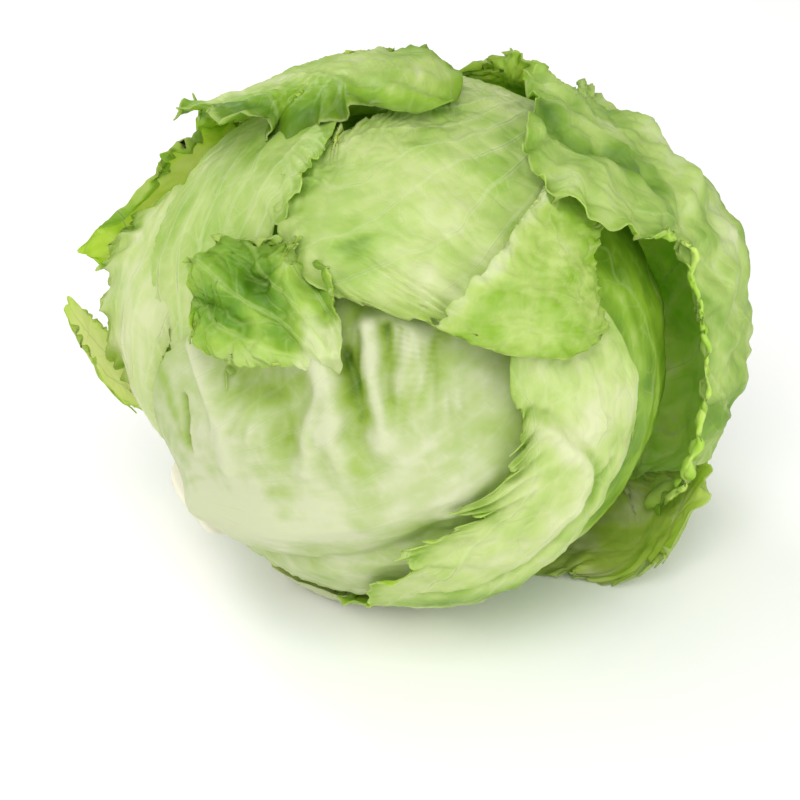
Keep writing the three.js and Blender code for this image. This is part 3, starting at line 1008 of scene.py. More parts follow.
class Pucker:
    """The node tree that gives every leaf its fine blisters, its smooth shading and its material."""

    HEIGHT = 3.2   # of the blisters where a leaf's pucker is 1
    SIZE = 7.5     # their width

    def __init__(self) -> None:
        """Builds the tree."""
        tree = bpy.data.node_groups.new("leaf_pucker", "GeometryNodeTree")
        face = tree.interface
        face.new_socket("Geometry", in_out="INPUT", socket_type="NodeSocketGeometry")
        self.keys = {}
        kinds = {"Height": "Float", "Size": "Float", "Seed": "Float", "Material": "Material"}
        for name, kind in kinds.items():
            socket = face.new_socket(name, in_out="INPUT", socket_type=f"NodeSocket{kind}")
            self.keys[name] = socket.identifier
        face.new_socket("Geometry", in_out="OUTPUT", socket_type="NodeSocketGeometry")
        web = Web(tree)
        given = web.add("NodeGroupInput").outputs
        kept = "GeometryNodeInputNamedAttribute"
        outward = web.add(kept, {"data_type": "FLOAT_VECTOR"}, Name="outward").outputs[0]
        weight = web.add(kept, {"data_type": "FLOAT"}, Name="pucker").outputs[0]
        noise = web.add("ShaderNodeTexNoise", {"noise_dimensions": "4D"}, W=given["Seed"], Detail=1.0)
        web.put(noise.inputs["Vector"], web.add("GeometryNodeInputPosition").outputs[0])
        web.put(noise.inputs["Scale"], web.math("DIVIDE", 1.0, given["Size"]))
        height = web.times(web.times(web.less(noise.outputs[0], 0.5), given["Height"]), weight)
        push = web.add("ShaderNodeVectorMath", {"operation": "SCALE"})
        web.put(push.inputs[0], outward)
        web.put(push.inputs["Scale"], height)
        shape = given["Geometry"]
        shape = web.add("GeometryNodeSetPosition", None, Geometry=shape, Offset=push.outputs[0]).outputs[0]
        shape = web.add("GeometryNodeSetShadeSmooth", None, Geometry=shape).outputs[0]
        shape = web.add("GeometryNodeRealizeInstances", None, Geometry=shape).outputs[0]
        shape = web.add("GeometryNodeSetMaterial", None, Geometry=shape, Material=given["Material"])
        out = web.add("NodeGroupOutput")
        web.put(out.inputs[0], shape.outputs[0])
        self.tree = tree

    def apply(self, piece: bpy.types.Object, material: bpy.types.Material, seed: int) -> None:
        """Runs the tree on a piece and keeps the result as its plain mesh.

        Args:
            piece: The object to finish.
            material: What it is dressed in.
            seed: What its blisters are drawn from.
        """
        modifier = piece.modifiers.new("pucker", "NODES")
        modifier.node_group = self.tree
        values = {"Height": self.HEIGHT * METRE, "Size": self.SIZE * METRE}
        values |= {"Seed": float(seed), "Material": material}
        for name, value in values.items():
            modifier[self.keys[name]] = value
        graph = bpy.context.evaluated_depsgraph_get()
        result = piece.evaluated_get(graph)
        mesh = bpy.data.meshes.new_from_object(result, preserve_all_data_layers=True, depsgraph=graph)
        piece.modifiers.clear()
        piece.data = mesh


def make_piece(name: str, points: np.ndarray, faces: np.ndarray | list) -> bpy.types.Object:
    """Makes an object.

    Args:
        name: What to call it.
        points: Its points in metres.
        faces: Its faces, as an array when all have the same number of sides.

    Returns:
        The new object.
    """
    mesh = bpy.data.meshes.new(name)
    if isinstance(faces, list):
        mesh.from_pydata(points.tolist(), [], faces)
    else:
        sides = faces.shape[1]
        mesh.vertices.add(len(points))
        mesh.vertices.foreach_set("co", points.astype(np.float32).ravel())
        mesh.loops.add(faces.size)
        mesh.loops.foreach_set("vertex_index", faces.astype(np.int32).ravel())
        mesh.polygons.add(len(faces))
        mesh.polygons.foreach_set("loop_start", np.arange(0, faces.size, sides, dtype=np.int32))
        mesh.polygons.foreach_set("loop_total", np.full(len(faces), sides, dtype=np.int32))
        mesh.update(calc_edges=True)
    piece = bpy.data.objects.new(name, mesh)
    bpy.context.scene.collection.objects.link(piece)
    return piece


def hoops(count: int, spokes: int) -> tuple[np.ndarray, np.ndarray]:
    """Joins points that lie in hoops.

    Args:
        count: How many hoops there are.
        spokes: How many points each has.

    Returns:
        The index of each point, a row for each hoop, and the quads between neighbouring hoops.
    """
    grid = np.arange(count * spokes).reshape(count, spokes)
    ahead = np.roll(grid, -1, axis=1)
    return grid, np.stack([grid[:-1], ahead[:-1], ahead[1:], grid[1:]], -1).reshape(-1, 4)


def hand_over(piece: bpy.types.Object, node: str) -> bpy.types.Object:
    """Lets a finished piece stand for its solid, and reports it.

    Args:
        piece: The finished piece.
        node: The solid's name.

    Returns:
        The same piece.
    """
    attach(piece, "root")
    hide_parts(node)
    LOG.info("%s: %d faces", node, len(piece.data.polygons))
    return piece


class LeafPiece:
    """Builds and dresses one leaf."""

    KEPT = ("tone", "glow", "fan", "pitch", "vein", "pucker", "border")

    def __init__(self, leaf: Leaf, seed: int) -> None:
        """Keeps the leaf and its seed."""
        self.leaf = leaf
        self.seed = seed

    def build(
        self, head: Head, pucker: Pucker, materials: dict[Finish, bpy.types.Material]
    ) -> bpy.types.Object:
        """Makes the leaf.

        Args:
            head: What the leaf is laid on.
            pucker: The tree that finishes it.
            materials: One material for each finish.

        Returns:
            The finished piece.
        """
        data = Blade(self.leaf, head, self.seed).finished()
        points = np.concatenate([data["upper"].reshape(-1, 3), data["lower"].reshape(-1, 3)]) * METRE
        piece = make_piece(self.leaf.node + "_look", points, self.faces(*data["tone"].shape))
        self.keep(piece.data, data)
        pucker.apply(piece, materials[self.leaf.finish], self.seed)
        return hand_over(piece, self.leaf.node)

    @staticmethod
    def faces(rows: int, columns: int) -> np.ndarray:
        """Joins a closed blade whose lower points follow its upper ones.

        Args:
            rows: How many points one side has from base to tip.
            columns: How many it has from margin to margin.

        Returns:
            The quads of both sides and of the rim.
        """
        grid = np.arange(rows * columns).reshape(rows, columns)
        corner = [grid[:-1, :-1], grid[:-1, 1:], grid[1:, 1:], grid[1:, :-1]]
        top = np.stack(corner, -1).reshape(-1, 4)
        below = np.stack([corner[0], corner[3], corner[2], corner[1]], -1).reshape(-1, 4) + grid.size
        rim = np.concatenate([grid[0, :-1], grid[:-1, -1], grid[-1, :0:-1], grid[:0:-1, 0]])
        ahead = np.roll(rim, -1)
        edge = np.stack([rim, rim + grid.size, ahead + grid.size, ahead], -1)
        return np.concatenate([top, below, edge])

    def keep(self, mesh: bpy.types.Mesh, data: dict[str, np.ndarray]) -> None:
        """Stores on the mesh what the finishing tree and the material read.

        Args:
            mesh: The leaf's mesh.
            data: What the blade knows about each point of one side.
        """
        numbers = {name: np.tile(data[name].ravel(), 2) for name in self.KEPT}
        numbers["inside"] = np.repeat([0.0, 1.0], data["tone"].size)
        for name, values in numbers.items():
            layer = mesh.attributes.new(name, "FLOAT", "POINT")
            layer.data.foreach_set("value", values.astype(np.float32).ravel())
        outward = mesh.attributes.new("outward", "FLOAT_VECTOR", "POINT")
        outward.data.foreach_set("vector", np.tile(data["normal"].astype(np.float32).ravel(), 2))
        flat = np.tile(np.stack([data["x"], data["y"]], -1).reshape(-1, 2) / FLAT_SCALE, (2, 1))
        order = np.empty(len(mesh.loops), dtype=np.int32)
        mesh.loops.foreach_get("vertex_index", order)
        mesh.uv_layers.new(name="leaf").data.foreach_set("uv", flat[order].astype(np.float32).ravel())


@dataclass(frozen=True)
class Heart:
    """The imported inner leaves, seen only through gaps."""

    rings: int = 90
    spokes: int = 180
    inset: float = 1.6       # how far it keeps inside the skin that the leaves are laid on
    drawn_in: float = 9.0    # how much further in front, under the hollows of the front leaf
    swell: float = 0.8       # height of its soft folds

    def build(self, head: Head) -> bpy.types.Object:
        """Makes the heart with soft overlapping folds.

        Args:
            head: The form that it fills.

        Returns:
            The finished piece.
        """
        turns = np.linspace(0, 360, self.spokes, endpoint=False)
        azimuth, elevation = np.meshgrid(turns, np.linspace(-90, 90, self.rings + 1)[1:-1])
        way = bearing(azimuth, elevation).reshape(-1, 3)
        way = np.concatenate([way, [[0, 0, -1], [0, 0, 1]]])
        front = smooth(0.2, 0.8, way @ bearing(-20, 12))
        radius = head.reach(way) - self.inset - self.drawn_in * front
        radius += self.swell * np.sin(3 * np.arctan2(way[:, 2], way[:, 1]) + 2 * way[:, 0])
        point = way * radius[:, None] + head.centre
        point[:, 2] = np.maximum(point[:, 2], HEART_REST)
        grid, quads = hoops(self.rings - 1, self.spokes)
        ahead = np.roll(grid, -1, axis=1)
        bottom = np.stack([np.full(self.spokes, grid.size), ahead[0], grid[0]], -1)
        top = np.stack([np.full(self.spokes, grid.size + 1), grid[-1], ahead[-1]], -1)
        piece = make_piece("heart_look", point * METRE, quads.tolist() + bottom.tolist() + top.tolist())
        piece.data.shade_smooth()
        piece.data.materials.append(self.material())
        return hand_over(piece, "heart")

    @staticmethod
    def material() -> bpy.types.Material:
        """Makes a pale green skin with soft streaks.

        Returns:
            The new material.
        """
        material, web = bare_skin("heart_skin")
        place = web.add("ShaderNodeTexCoord").outputs["Object"]
        streak = web.add("ShaderNodeMapping", None, Vector=place, Scale=(20.0, 60.0, 90.0)).outputs[0]
        stops = ((0.3, paint(120, 172, 50)), (0.7, paint(186, 214, 116)))
        colour = web.ramp(web.noise(streak, scale=1.0, detail=5.0), stops)
        shader = web.add("ShaderNodeBsdfPrincipled", None, Base_Color=colour, Roughness=0.45)
        web.surface(shader.outputs[0])
        return material


@dataclass(frozen=True)
class Stem:
    """The cut butt on the left."""

    azimuth: float = -83.0
    elevation: float = -36.0
    radius: float = 15.0
    cut_radius: float = 12.6
    start: float = -1.5      # from the laid skin outwards
    length: float = 13.4
    bevel: float = 2.6       # height of the rounded rim
    dish: float = 0.7        # how far the cut face sinks towards its middle
    uneven: float = 0.035    # how far it is from round, as a share of its radius
    sides: int = 72
    rings: int = 26
    face_rings: int = 9

    def build(self, head: Head) -> bpy.types.Object:
        """Makes the stem as one closed turned form with a browned, uneven cut face.

        Args:
            head: What it grows from.

        Returns:
            The finished piece.
        """
        way = bearing(self.azimuth, self.elevation)
        start = head.reach(way) + self.start
        profile = self.profile(start)
        turn = np.linspace(0, 2 * math.pi, self.sides, endpoint=False)
        radius, height = profile[:, :1], profile[:, 1:]
        flat = np.broadcast_arrays(np.cos(turn) * 8, np.sin(turn) * 8 + height * 0.15)
        wobble = Waves(5, 2).at(np.stack(flat, -1), 9)
        height = height + 0.25 * wobble * (radius < self.radius - 1)
        radius = radius * (1 + self.uneven * wobble)
        side = unit(np.cross(way, [0, 0, 1.0]))
        other = np.cross(way, side)
        across = side * np.cos(turn)[:, None] + other * np.sin(turn)[:, None]
        points = way * height[..., None] + across * radius[..., None] + head.centre
        grid, quads = hoops(len(profile), self.sides)
        faces = quads.tolist() + [grid[0][::-1].tolist(), grid[-1].tolist()]
        piece = make_piece("stem_look", points.reshape(-1, 3) * METRE, faces)
        piece.data.shade_smooth()
        piece.data.materials.append(self.material((head.centre + way * (start + self.length)) * METRE))
        return hand_over(piece, "stem")

    def profile(self, start: float) -> np.ndarray:
        """Draws the line that is turned to make the stem.

        Args:
            start: Height of its base.

        Returns:
            Radii and heights from near the middle of the base round to the middle of the cut face.
        """
        top = start + self.length
        base = [(self.radius * k / 4, start) for k in range(1, 4)]
        climb = np.linspace(0, 1, self.rings) * (self.length - self.bevel)
        wall = [(self.radius, start + rise) for rise in climb]
        rim = [(self.radius - 0.5, top - 1.6), (self.cut_radius + 0.6, top - 0.5)]
        shares = [k / self.face_rings for k in range(self.face_rings)]
        face = [(self.cut_radius * (1 - share), top - 0.4 - self.dish * share) for share in shares]
        return np.array(base + wall + rim + face)

    @staticmethod
    def material(middle: np.ndarray) -> bpy.types.Material:
        """Cream with a browned cut face, ringed by the scar of the vessels.

        Args:
            middle: The middle of the cut face, in metres.

        Returns:
            The new material.
        """
        material, web = bare_skin("stem_skin")
        place = web.add("ShaderNodeTexCoord").outputs["Object"]
        away = web.add("ShaderNodeVectorMath", {"operation": "DISTANCE"})
        web.put(away.inputs[0], place)
        web.put(away.inputs[1], tuple(middle))
        noise = web.noise(place, scale=240.0, detail=6.0)
        spot = web.plus(web.times(away.outputs["Value"], 60.0), web.times(noise, 0.35))
        stops = (
            (0.18, paint(206, 170, 112)), (0.5, paint(184, 130, 74)), (0.72, paint(160, 100, 56)),
            (0.9, paint(218, 200, 162)), (1.0, paint(230, 226, 204)),
        )
        shader = web.add("ShaderNodeBsdfPrincipled", None, Base_Color=web.ramp(spot, stops), Roughness=0.7)
        bump = web.add("ShaderNodeBump", None, Strength=0.5, Distance=0.0006, Height=noise)
        web.put(shader.inputs["Normal"], bump.outputs[0])
        web.surface(shader.outputs[0])
        return material


@dataclass(frozen=True)
class Lamp:
    """A soft square light that faces the head. Lengths are in metres, the power in watts."""

    name: str
    place: tuple[float, float, float]
    size: float
    power: float
    aim: tuple[float, float, float] = (0, 0, 0.08)

    def build(self) -> None:
        """Hangs the light."""
        light = bpy.data.lights.new(self.name, "AREA")
        light.size, light.energy = self.size, self.power
        lamp = bpy.data.objects.new(self.name, light)
        lamp.location = self.place
        lamp.rotation_euler = (Vector(self.aim) - Vector(self.place)).to_track_quat("-Z", "Y").to_euler()
        bpy.context.scene.collection.objects.link(lamp)


@dataclass(frozen=True)
class Studio:
    """The floor, the lights and the camera."""

    view_elevation: float = 32.0
    view_distance: float = 733.0
    lens: float = 100.0
    aim: tuple[float, float, float] = (-4.0, -8.7, 66.0)
    floor_half: float = 4000.0
    sky: float = 0.6         # brightness of the light from all round
    lamps: tuple[Lamp, ...] = (
        Lamp("key", (-0.15, -0.75, 1.05), 0.7, 7.6),
        Lamp("side", (-1.0, -0.5, 0.4), 0.7, 2.6),
        Lamp("fill", (0.9, -0.8, 0.35), 0.8, 6.0),
        Lamp("back", (-0.6, 0.8, 0.8), 0.6, 5.0),
    )

    def build(self) -> None:
        """Makes a pale floor, soft light from above and a camera."""
        scene = bpy.context.scene
        scene.view_settings.view_transform = "Standard"
        self.floor()
        world = bpy.data.worlds.new("studio")
        world.use_nodes = True
        backdrop = world.node_tree.nodes["Background"]
        backdrop.inputs["Color"].default_value = (1, 1, 1, 1)
        backdrop.inputs["Strength"].default_value = self.sky
        scene.world = world
        for lamp in self.lamps:
            lamp.build()
        tilt = math.radians(self.view_elevation)
        back = Vector((0, -math.cos(tilt), math.sin(tilt)))
        camera = bpy.data.objects.new("camera", bpy.data.cameras.new("camera"))
        camera.data.lens = self.lens
        camera.data.sensor_width = 36.0
        camera.location = (Vector(self.aim) + back * self.view_distance) * METRE
        camera.rotation_euler = (-back).to_track_quat("-Z", "Y").to_euler()
        scene.collection.objects.link(camera)
        scene.camera = camera

    def floor(self) -> None:
        """Lays a pale matt sheet under the head."""
        corners = np.array([(-1, -1, 0), (1, -1, 0), (1, 1, 0), (-1, 1, 0)], float)
        floor = make_piece("floor", corners * self.floor_half * METRE, np.array([[0, 1, 2, 3]]))
        material = bpy.data.materials.new("floor_paper")
        material.use_nodes = True
        paper = material.node_tree.nodes["Principled BSDF"]
        paper.inputs["Base Color"].default_value = paint(250, 250, 249)
        paper.inputs["Roughness"].default_value = 0.9
        floor.data.materials.append(material)


def row(azimuth: float, elevation: float, out: object, wide: tuple, turn: tuple = (0, 0)) -> Section:
    """A section, given one stand-off for its whole width or three."""
    return Section(azimuth, elevation, out if isinstance(out, tuple) else (out, out, out), wide, turn)


def ribs(width: float, height: float, tone: float, *paths: tuple, fade: float = 0.0) -> tuple[Relief, ...]:
    """Several reliefs of one kind."""
    return tuple(Relief(path, width, height, tone, fade) for path in paths)


LEAVES = (
    # The smooth leaf round the right side, close to the heart.
    Leaf(
        "right_wrap_leaf", "leaf_green", Finish.GREEN, (
            row(-70, -52, 2.2, (12, 12)), row(-20, -76, 2.0, (38, 40)), row(48, -50, 1.6, (60, 60)),
            row(64, -10, 1.6, (62, 70)), row(66, 30, 1.6, (55, 65)), row(60, 62, 1.6, (35, 40)),
        ),
        cut=(0.3, 0.3), tone=(0.1, 0.84, 0.7), pale_reach=0.75, fan=(8, 60), rib=0.3, pucker=0.3,
        grain=1.6,
        margin=Margin(sides=(0, 0, 0)),
        # pale ribs
        reliefs=ribs(
            4, 0.5, -0.2, ((62, 28), (60, 4), (64, -26), (46, -40)),
            ((70, 30), (71, 2), (72, -24), (60, -44)),
        ),
    ),
    # The upper back.
    Leaf(
        "back_high_leaf", "leaf_pale", Finish.PALE, (
            row(-112, -20, 3.6, (12, 12)), row(-140, 5, 3.6, (36, 28)), row(-165, 28, 3.6, (56, 38)),
            row(-170, 52, 3.6, (50, 22)), row(-120, 75, 3.6, (36, 12)),
        ),
        grain=1.7, pucker=0.3,
        margin=Margin(ruffle=0.4, tooth=1.5, lift=0.2),
    ),
    # The lower back.
    Leaf(
        "back_low_leaf", "leaf_green", Finish.GREEN, (
            row(-112, -48, 3.8, (12, 12)), row(-150, -45, (4.5, 5.6, 5.6), (36, 36)),
            row(172, -28, (4.5, 5.6, 5.6), (50, 50)), row(140, -10, (5, 5.6, 5.6), (52, 50)),
            row(112, 5, 5.6, (44, 40)),
        ),
        grain=1.5, pucker=0.3, tone=(0.05, 0.5, 0.6),
        margin=Margin(ruffle=0.7, tooth=2.0),
    ),
    # The white-based leaf over the front. Its ribs are ridges and paler, its hollows greener.
    Leaf(
        "front_leaf", "leaf_rib", Finish.RIB, (
            row(-70, -27, 5, (12, 12)), row(-50, -18, (8.5, 4.6, 4), (52, 34)),
            row(-28, -13, (9.4, 4.6, 4), (80, 46)), row(-5, -6, (5, 4.6, 4), (82, 45)),
            row(16, 4, (4.6, 4.6, 4), (86, 32)), row(38, 17, 4, (72, 28)),
        ),
        cut=(0.1, 0.25), tone=(0.1, 0.32, 0.4), corner=14, pale_reach=0.9, fan=(13, 6), rib=0.12,
        midrib=1.2, pucker=0.12, crumple=0.3, grain=0.95,
        margin=Margin(sides=(0.5, 0, 0.5), ruffle=1.0, tooth=2.5),
        reliefs=(
            # the swelling of the base
            *ribs(8, 4.0, -0.12, ((-61, -24), (-46, -22), (-24, -12), (-3, -3), (6, 2)), fade=0.3),
            # green under the crown
            *ribs(13, 0, 0.1, ((-46, 17), (-30, 19), (-14, 24), (-4, 28))),
            # hollows at the left
            *ribs(7.0, -6.0, 0.16, ((-40, 18), (-33, 20), (-27, 19))),
            *ribs(5.0, -4.5, 0.24, ((-32, 15), (-28, 8))),
            # ribs, with the hollows and grooves beside them
            *ribs(
                2.4, 3.8, -0.3, ((-22, 27), (-21, 20), (-22, 12), (-23, 3)),
                ((-20, 28), (-18, 19), (-17, 11), (-14, 3)), fade=0.5,
            ),
            *ribs(3.0, -5.6, 0.6, ((-16, 28), (-13, 23), (-12, 17), (-13, 12)), fade=0.5),
            *ribs(3.0, 4.6, -0.35, ((-11, 35), (-9, 26), (-8, 18), (-6, 10)), fade=0.5),
            *ribs(1.5, -3.6, 0.65, ((-7, 35), (-6, 29), (-5, 21)), fade=0.6),
            *ribs(5.0, 4.0, -0.3, ((-1, 34), (0, 27), (1, 19), (-1, 12)), fade=0.6),
            *ribs(1.8, -1.6, 0.16, ((7, 34), (6, 26), (4, 17)), fade=0.8),
            # shallow hollows and pale patches
            *ribs(12, -2.0, -0.06, ((14, 27), (15, 18)), ((19, 26), (17, 20))),
            *ribs(12, 0, -0.12, ((-50, -11), (-36, -8))),
            *ribs(12, 0, -0.05, ((-20, -5), (0, 4))),
            # fine grooves between the ribs
            *ribs(
                0.7, -1.1, 0.26,
                *(
                    ((a, 35 - 0.1 * abs(a)), (0.8 * a - 2, 26), (0.6 * a - 4, 15))
                    for a in (-13, -10, -8, -3, -1, 1, 3, 6)
                ),
                fade=0.5,
            ),
            # the rib by the left margin, its groove and a green patch
            *ribs(2.6, 3.4, -0.3, ((-53, 21), (-47, 13), (-43, 6), (-42, -4)), fade=0.5),
            *ribs(1.3, -3.0, 0.5, ((-55, 8), (-54, 2), (-55, -4))),
            *ribs(4.0, 0, 0.36, ((-68, 14), (-60, 6), (-57, -2))),
            # the groove under the base, with painted shade along it
            *ribs(3.5, -3.2, 0.08, ((-42, -32), (-26, -27), (-7, -18), (6, -10)), fade=0.4),
            # fine lines down the ribs
            *ribs(
                0.9, 0.7, -0.12,
                *(
                    ((a, 20 + 0.28 * (a + 46)), (1.1 * a - 1, 1 + 0.3 * (a + 46)))
                    for a in range(-50, 12, 3)
                ),
            ),
            # long low ridges along the base
            *ribs(
                1.6, 0.6, -0.08,
                *(((-60, -20 + k), (-30, 1.6 * k - 10), (8, 2.2 * k + 2)) for k in range(-7, 6, 2)),
            ),
        ),
    ),
    # The folded leaf at the lower right of the front, with a crisped left margin.
    Leaf(
        "right_front_leaf", "leaf_pale", Finish.PALE, (
            row(-76, -54, 5.4, (8, 8)), row(-38, -68, 4.6, (12, 16)),
            row(0, -52, (5.4, 5.4, 5), (22, 20)), row(18, -30, (6.8, 9, 9), (38, 16), (0, -40)),
            row(31, -8, (7, 10, 10), (28, 20), (0, -40)), row(38, 12, (7, 10, 10), (26, 24), (0, -40)),
            row(42, 34, (7, 8, 8), (42, 24), (0, -30)),
        ),
        cut=(0.15, 0.25), roll=10, tone=(0.1, 0.32, 0.5), fan=(9, 60), rib=0.3, midrib=0.5, pucker=0.5,
        grain=0.85, soften=5, corner=10,
        margin=Margin(
            sides=(1, 0.2, 0), ruffle=2.2, tooth=3.0, pitch=6, wave=13, reach=9, lift=1.0, lobe=3.0,
        ),
        reliefs=(
            # the inner fold, painted darker as shade, with a ridge beside it painted paler as a highlight
            *ribs(1.5, -2.0, 0.25, ((24, 16), (30, 12), (35, 6), (38, 1), (39, -4), (37, -11))),
            *ribs(3.0, 1.4, -0.2, ((25, 12), (31, 8), (35, 0), (34, -8))),
            # the lower fold, painted darker as shade
            *ribs(1.4, -1.6, 0.2, ((2, -32), (9, -29), (17, -27), (26, -20), (35, -11), (42, 0))),
            # a green band of painted shade along the underside, which faces down, and a pale patch
            *ribs(6.5, 0, 0.42, ((0, -39), (14, -36), (30, -30), (45, -21), (57, -5))),
            *ribs(8, 0, -0.16, ((28, 18), (31, 10))),
        ),
        edge=((20, 22), (22, 15), (19, 7), (14, 1), (7, -5), (2, -7), (-1, -12), (-4, -19), (-9, -27)),
    ),
    # The ribbed leaf at the upper left, whose margin lies over the crown.
    Leaf(
        "left_wide_leaf", "leaf_pale", Finish.PALE, (
            row(-68, -12, 2.2, (8, 10)), row(-59, 0, 2.2, (14, 14)),
            row(-55, 14, (5, 3.0, 2.4), (22, 16)), row(-57, 32, (13, 6.6, 4), (27, 18)),
            row(-66, 50, (13, 12.6, 16), (36, 30), (0, 10)),
            row(-76, 64, (13, 14.5, 17), (40, 27), (0, 10)), row(-84, 76, (13, 15, 17), (30, 22)),
        ),
        cut=(0.2, 0.15), roll=12, tone=(0.05, 0.42, 0.55), pale_reach=0.7, fan=(12, 20), rib=0.3,
        pucker=0.3, crumple=0.3, grain=0.9, corner=8,
        margin=Margin(sides=(0.3, 0.3, 1), ruffle=1.6, tooth=2.6, pitch=5, wave=11, lobe=1.2),
        reliefs=(
            # a low rib and a green patch
            *ribs(2.2, 0.9, 0, ((-62, 37), (-66, 51), (-77, 67))),
            *ribs(9, 0, 0.2, ((-60, 40), (-68, 56), (-62, 66))),
        ),
        edge=((-40, 49), (-39, 52), (-37, 56), (-40, 61), (-40, 65)),
    ),
    # The pale bulging leaf at the far left.
    Leaf(
        "far_left_leaf", "leaf_pale", Finish.PALE, (
            row(-84, -20, 4, (8, 10)), row(-82, -8, (15, 9, 4), (18, 17), (10, 0)),
            row(-82, 10, (20, 13, 4.6), (24, 25), (15, 0)),
            row(-84, 26, (18, 13, 4.6), (26, 24), (20, 0)), row(-92, 42, (12, 9, 5), (18, 22), (25, 0)),
        ),
        roll=40, tone=(0.0, 0.22, 0.36), pale_reach=0.6, grain=0.8,
        margin=Margin(sides=(1, 0.6, 0.3), ruffle=2.2, tooth=6.0, pitch=9, wave=13, lobe=3),
    ),
    # The small folded leaf at the upper left of the front.
    Leaf(
        "crumpled_leaf", "leaf_deep", Finish.DEEP, (
            row(-20, 24, 3.0, (3, 3)), row(-21, 27, 8, (6, 9)), row(-28, 31, (9.5, 11.5, 10), (13, 23)),
            row(-39, 34, (10.8, 13.5, 10.5), (18, 22)), row(-49, 36, (12.5, 14.5, 12), (19, 16), (0, 10)),
            row(-57, 35, (13, 13.5, 12.5), (12, 12), (30, 20)),
        ),
        cut=(0.3, 0.3), roll=14, soften=4.5, tone=(0.0, 0.58, 0.5), pale_reach=0.5, fan=(4, 5), rib=0.8,
        midrib=0.6, pucker=1.5, crumple=1.8, grain=0.55,
        margin=Margin(
            start=0.22, sides=(0.5, 1, 1), ruffle=3.0, tooth=2.8, pitch=5, wave=9, reach=10, lift=1.0,
            lobe=2.5,
        ),
        reliefs=(
            # folds, painted darker as shade
            *ribs(3.0, -3.4, 0.2, ((-38, 39), (-35, 36), (-30, 31), (-25, 28))),
            *ribs(
                2.4, -2.0, 0.15, ((-46, 42), (-41, 38)), ((-52, 30), (-45, 31), (-39, 29)),
                ((-28, 44), (-21, 38), (-17, 33)),
            ),
            # ridges between them, painted paler as highlights
            *ribs(3.2, 3.4, -0.2, ((-56, 26), (-47, 25), (-38, 25), (-30, 26)), ((-52, 36), (-45, 35))),
            *ribs(3.0, 4.4, -0.3, ((-20, 29), (-25, 36), (-32, 42)), ((-16, 30), (-16, 36), (-20, 42))),
            # the pale root
            *ribs(6.5, 0.0, -0.8, ((-22, 25), (-17, 27), (-15, 33))),
        ),
        edge=(
            (-57, 31), (-58, 36), (-55, 40), (-51, 43), (-46, 47), (-39, 49), (-28, 46), (-18, 40),
            (-56, 27), (-47, 24), (-37, 24), (-27, 25), (-22, 26),
        ),
    ),
    # The leaf to the right of the crown, with a ridge down its left side.
    Leaf(
        "crown_side_leaf", "leaf_green", Finish.GREEN, (
            row(-122, -48, 11.8, (9, 9)), row(-170, -22, 12, (18, 18)), row(150, 10, 12.2, (26, 22)),
            row(118, 38, 13, (20, 18)), row(84, 54, (13, 14.4, 15.4), (18, 14)),
            row(54, 52, (11.5, 14.8, 16.5), (16, 11), (0, -15)),
            row(37, 44, (10.5, 15, 17.4), (20, 19), (0, -20)),
            row(29, 35, (11, 15, 17.4), (26, 27), (0, -25)),
            row(25, 27, (11.5, 14.6, 16), (25, 34), (10, -20)),
        ),
        cut=(0.12, 0.04), roll=10, tone=(0.1, 0.46, 0.5), fan=(7, 20), rib=0.4, midrib=0.6, pucker=0.8,
        grain=1.05, corner=10,
        margin=Margin(sides=(0.4, 1, 0.5), ruffle=1.8, tooth=3.0, pitch=6, wave=12, lobe=1.5),
        # the ridge, painted paler along it as a highlight
        reliefs=ribs(3.5, 1.4, -0.35, ((45, 55), (23, 47), (5, 34))),
        edge=((45, 55), (23, 47), (5, 34), (7, 33), (14, 30), (26, 26), (41, 25), (47, 33), (52, 42)),
    ),
    # The broad leaf over the top of the front.
    Leaf(
        "crown_leaf", "leaf_pale", Finish.PALE, (
            row(-120, -26, 10, (8, 8)), row(-150, 0, 10, (22, 18)), row(175, 32, 10.2, (28, 30)),
            row(142, 50, 10.8, (28, 30)), row(104, 66, 12, (30, 28)),
            row(50, 73, (12, 12.4, 11.5), (52, 26)), row(2, 70, (12.5, 13, 12), (64, 24)),
            row(-28, 62, (12.8, 12.8, 12), (48, 22)), row(-48, 56, (12.6, 12.4, 12), (34, 18)),
        ),
        cut=(0.15, 0.15), tone=(0.15, 0.38, 0.45), fan=(8, -110), rib=0.4, midrib=0.4, pucker=0.5,
        crumple=0.7, grain=1.05, corner=7,
        margin=Margin(sides=(1, 1, 0.2), ruffle=2.2, tooth=2.2, pitch=5, wave=10, lift=0.3, lobe=1.0),
        reliefs=(
            # green patches and a green band
            *ribs(8, 0, 0.2, ((1, 76),), ((55, 81),), ((36, 57),)),
            *ribs(9, 0, 0.25, ((-28, 55), (-22, 50), (-14, 44))),
            # a pale patch and a low ridge
            *ribs(9, 0, -0.05, ((4, 42), (8, 52))),
            *ribs(2.5, 1.2, -0.1, ((16, 57), (6, 48), (2, 38))),
        ),
        edge=((10, 33), (6, 35), (1, 35), (-15, 39), (-40, 46), (-46, 51), (-48, 57), (-53, 63)),
    ),
    # The dark curl at the top.
    Leaf(
        "top_knot_leaf", "leaf_deep", Finish.DEEP, (
            row(-130, -36, 14, (6, 6)), row(-174, -8, 14.4, (22, 22)), row(168, 22, 15, (26, 30)),
            row(152, 45, 15.2, (20, 16), (20, 20)), row(136, 61, 16, (14, 8), (50, 40)),
        ),
        cut=(0.3, 0.3), roll=14, tip_turn=(70, 70), tip_roll=16, tone=(0.1, 0.6, 0.7), pucker=0.8,
        grain=1.15,
        margin=Margin(ruffle=2.2, tooth=3.4, pitch=6, wave=10, reach=10),
    ),
    # The frilled ribbon behind the left side.
    Leaf(
        "back_left_leaf", "leaf_green", Finish.SHEER, (
            row(-106, -42, 6, (12, 10)), row(-116, -22, 7.4, (26, 20)),
            row(-117, 0, (7.8, 10, 20), (30, 38), (0, 40)),
            row(-117, 20, (7.8, 12, 29), (30, 48), (0, 60)),
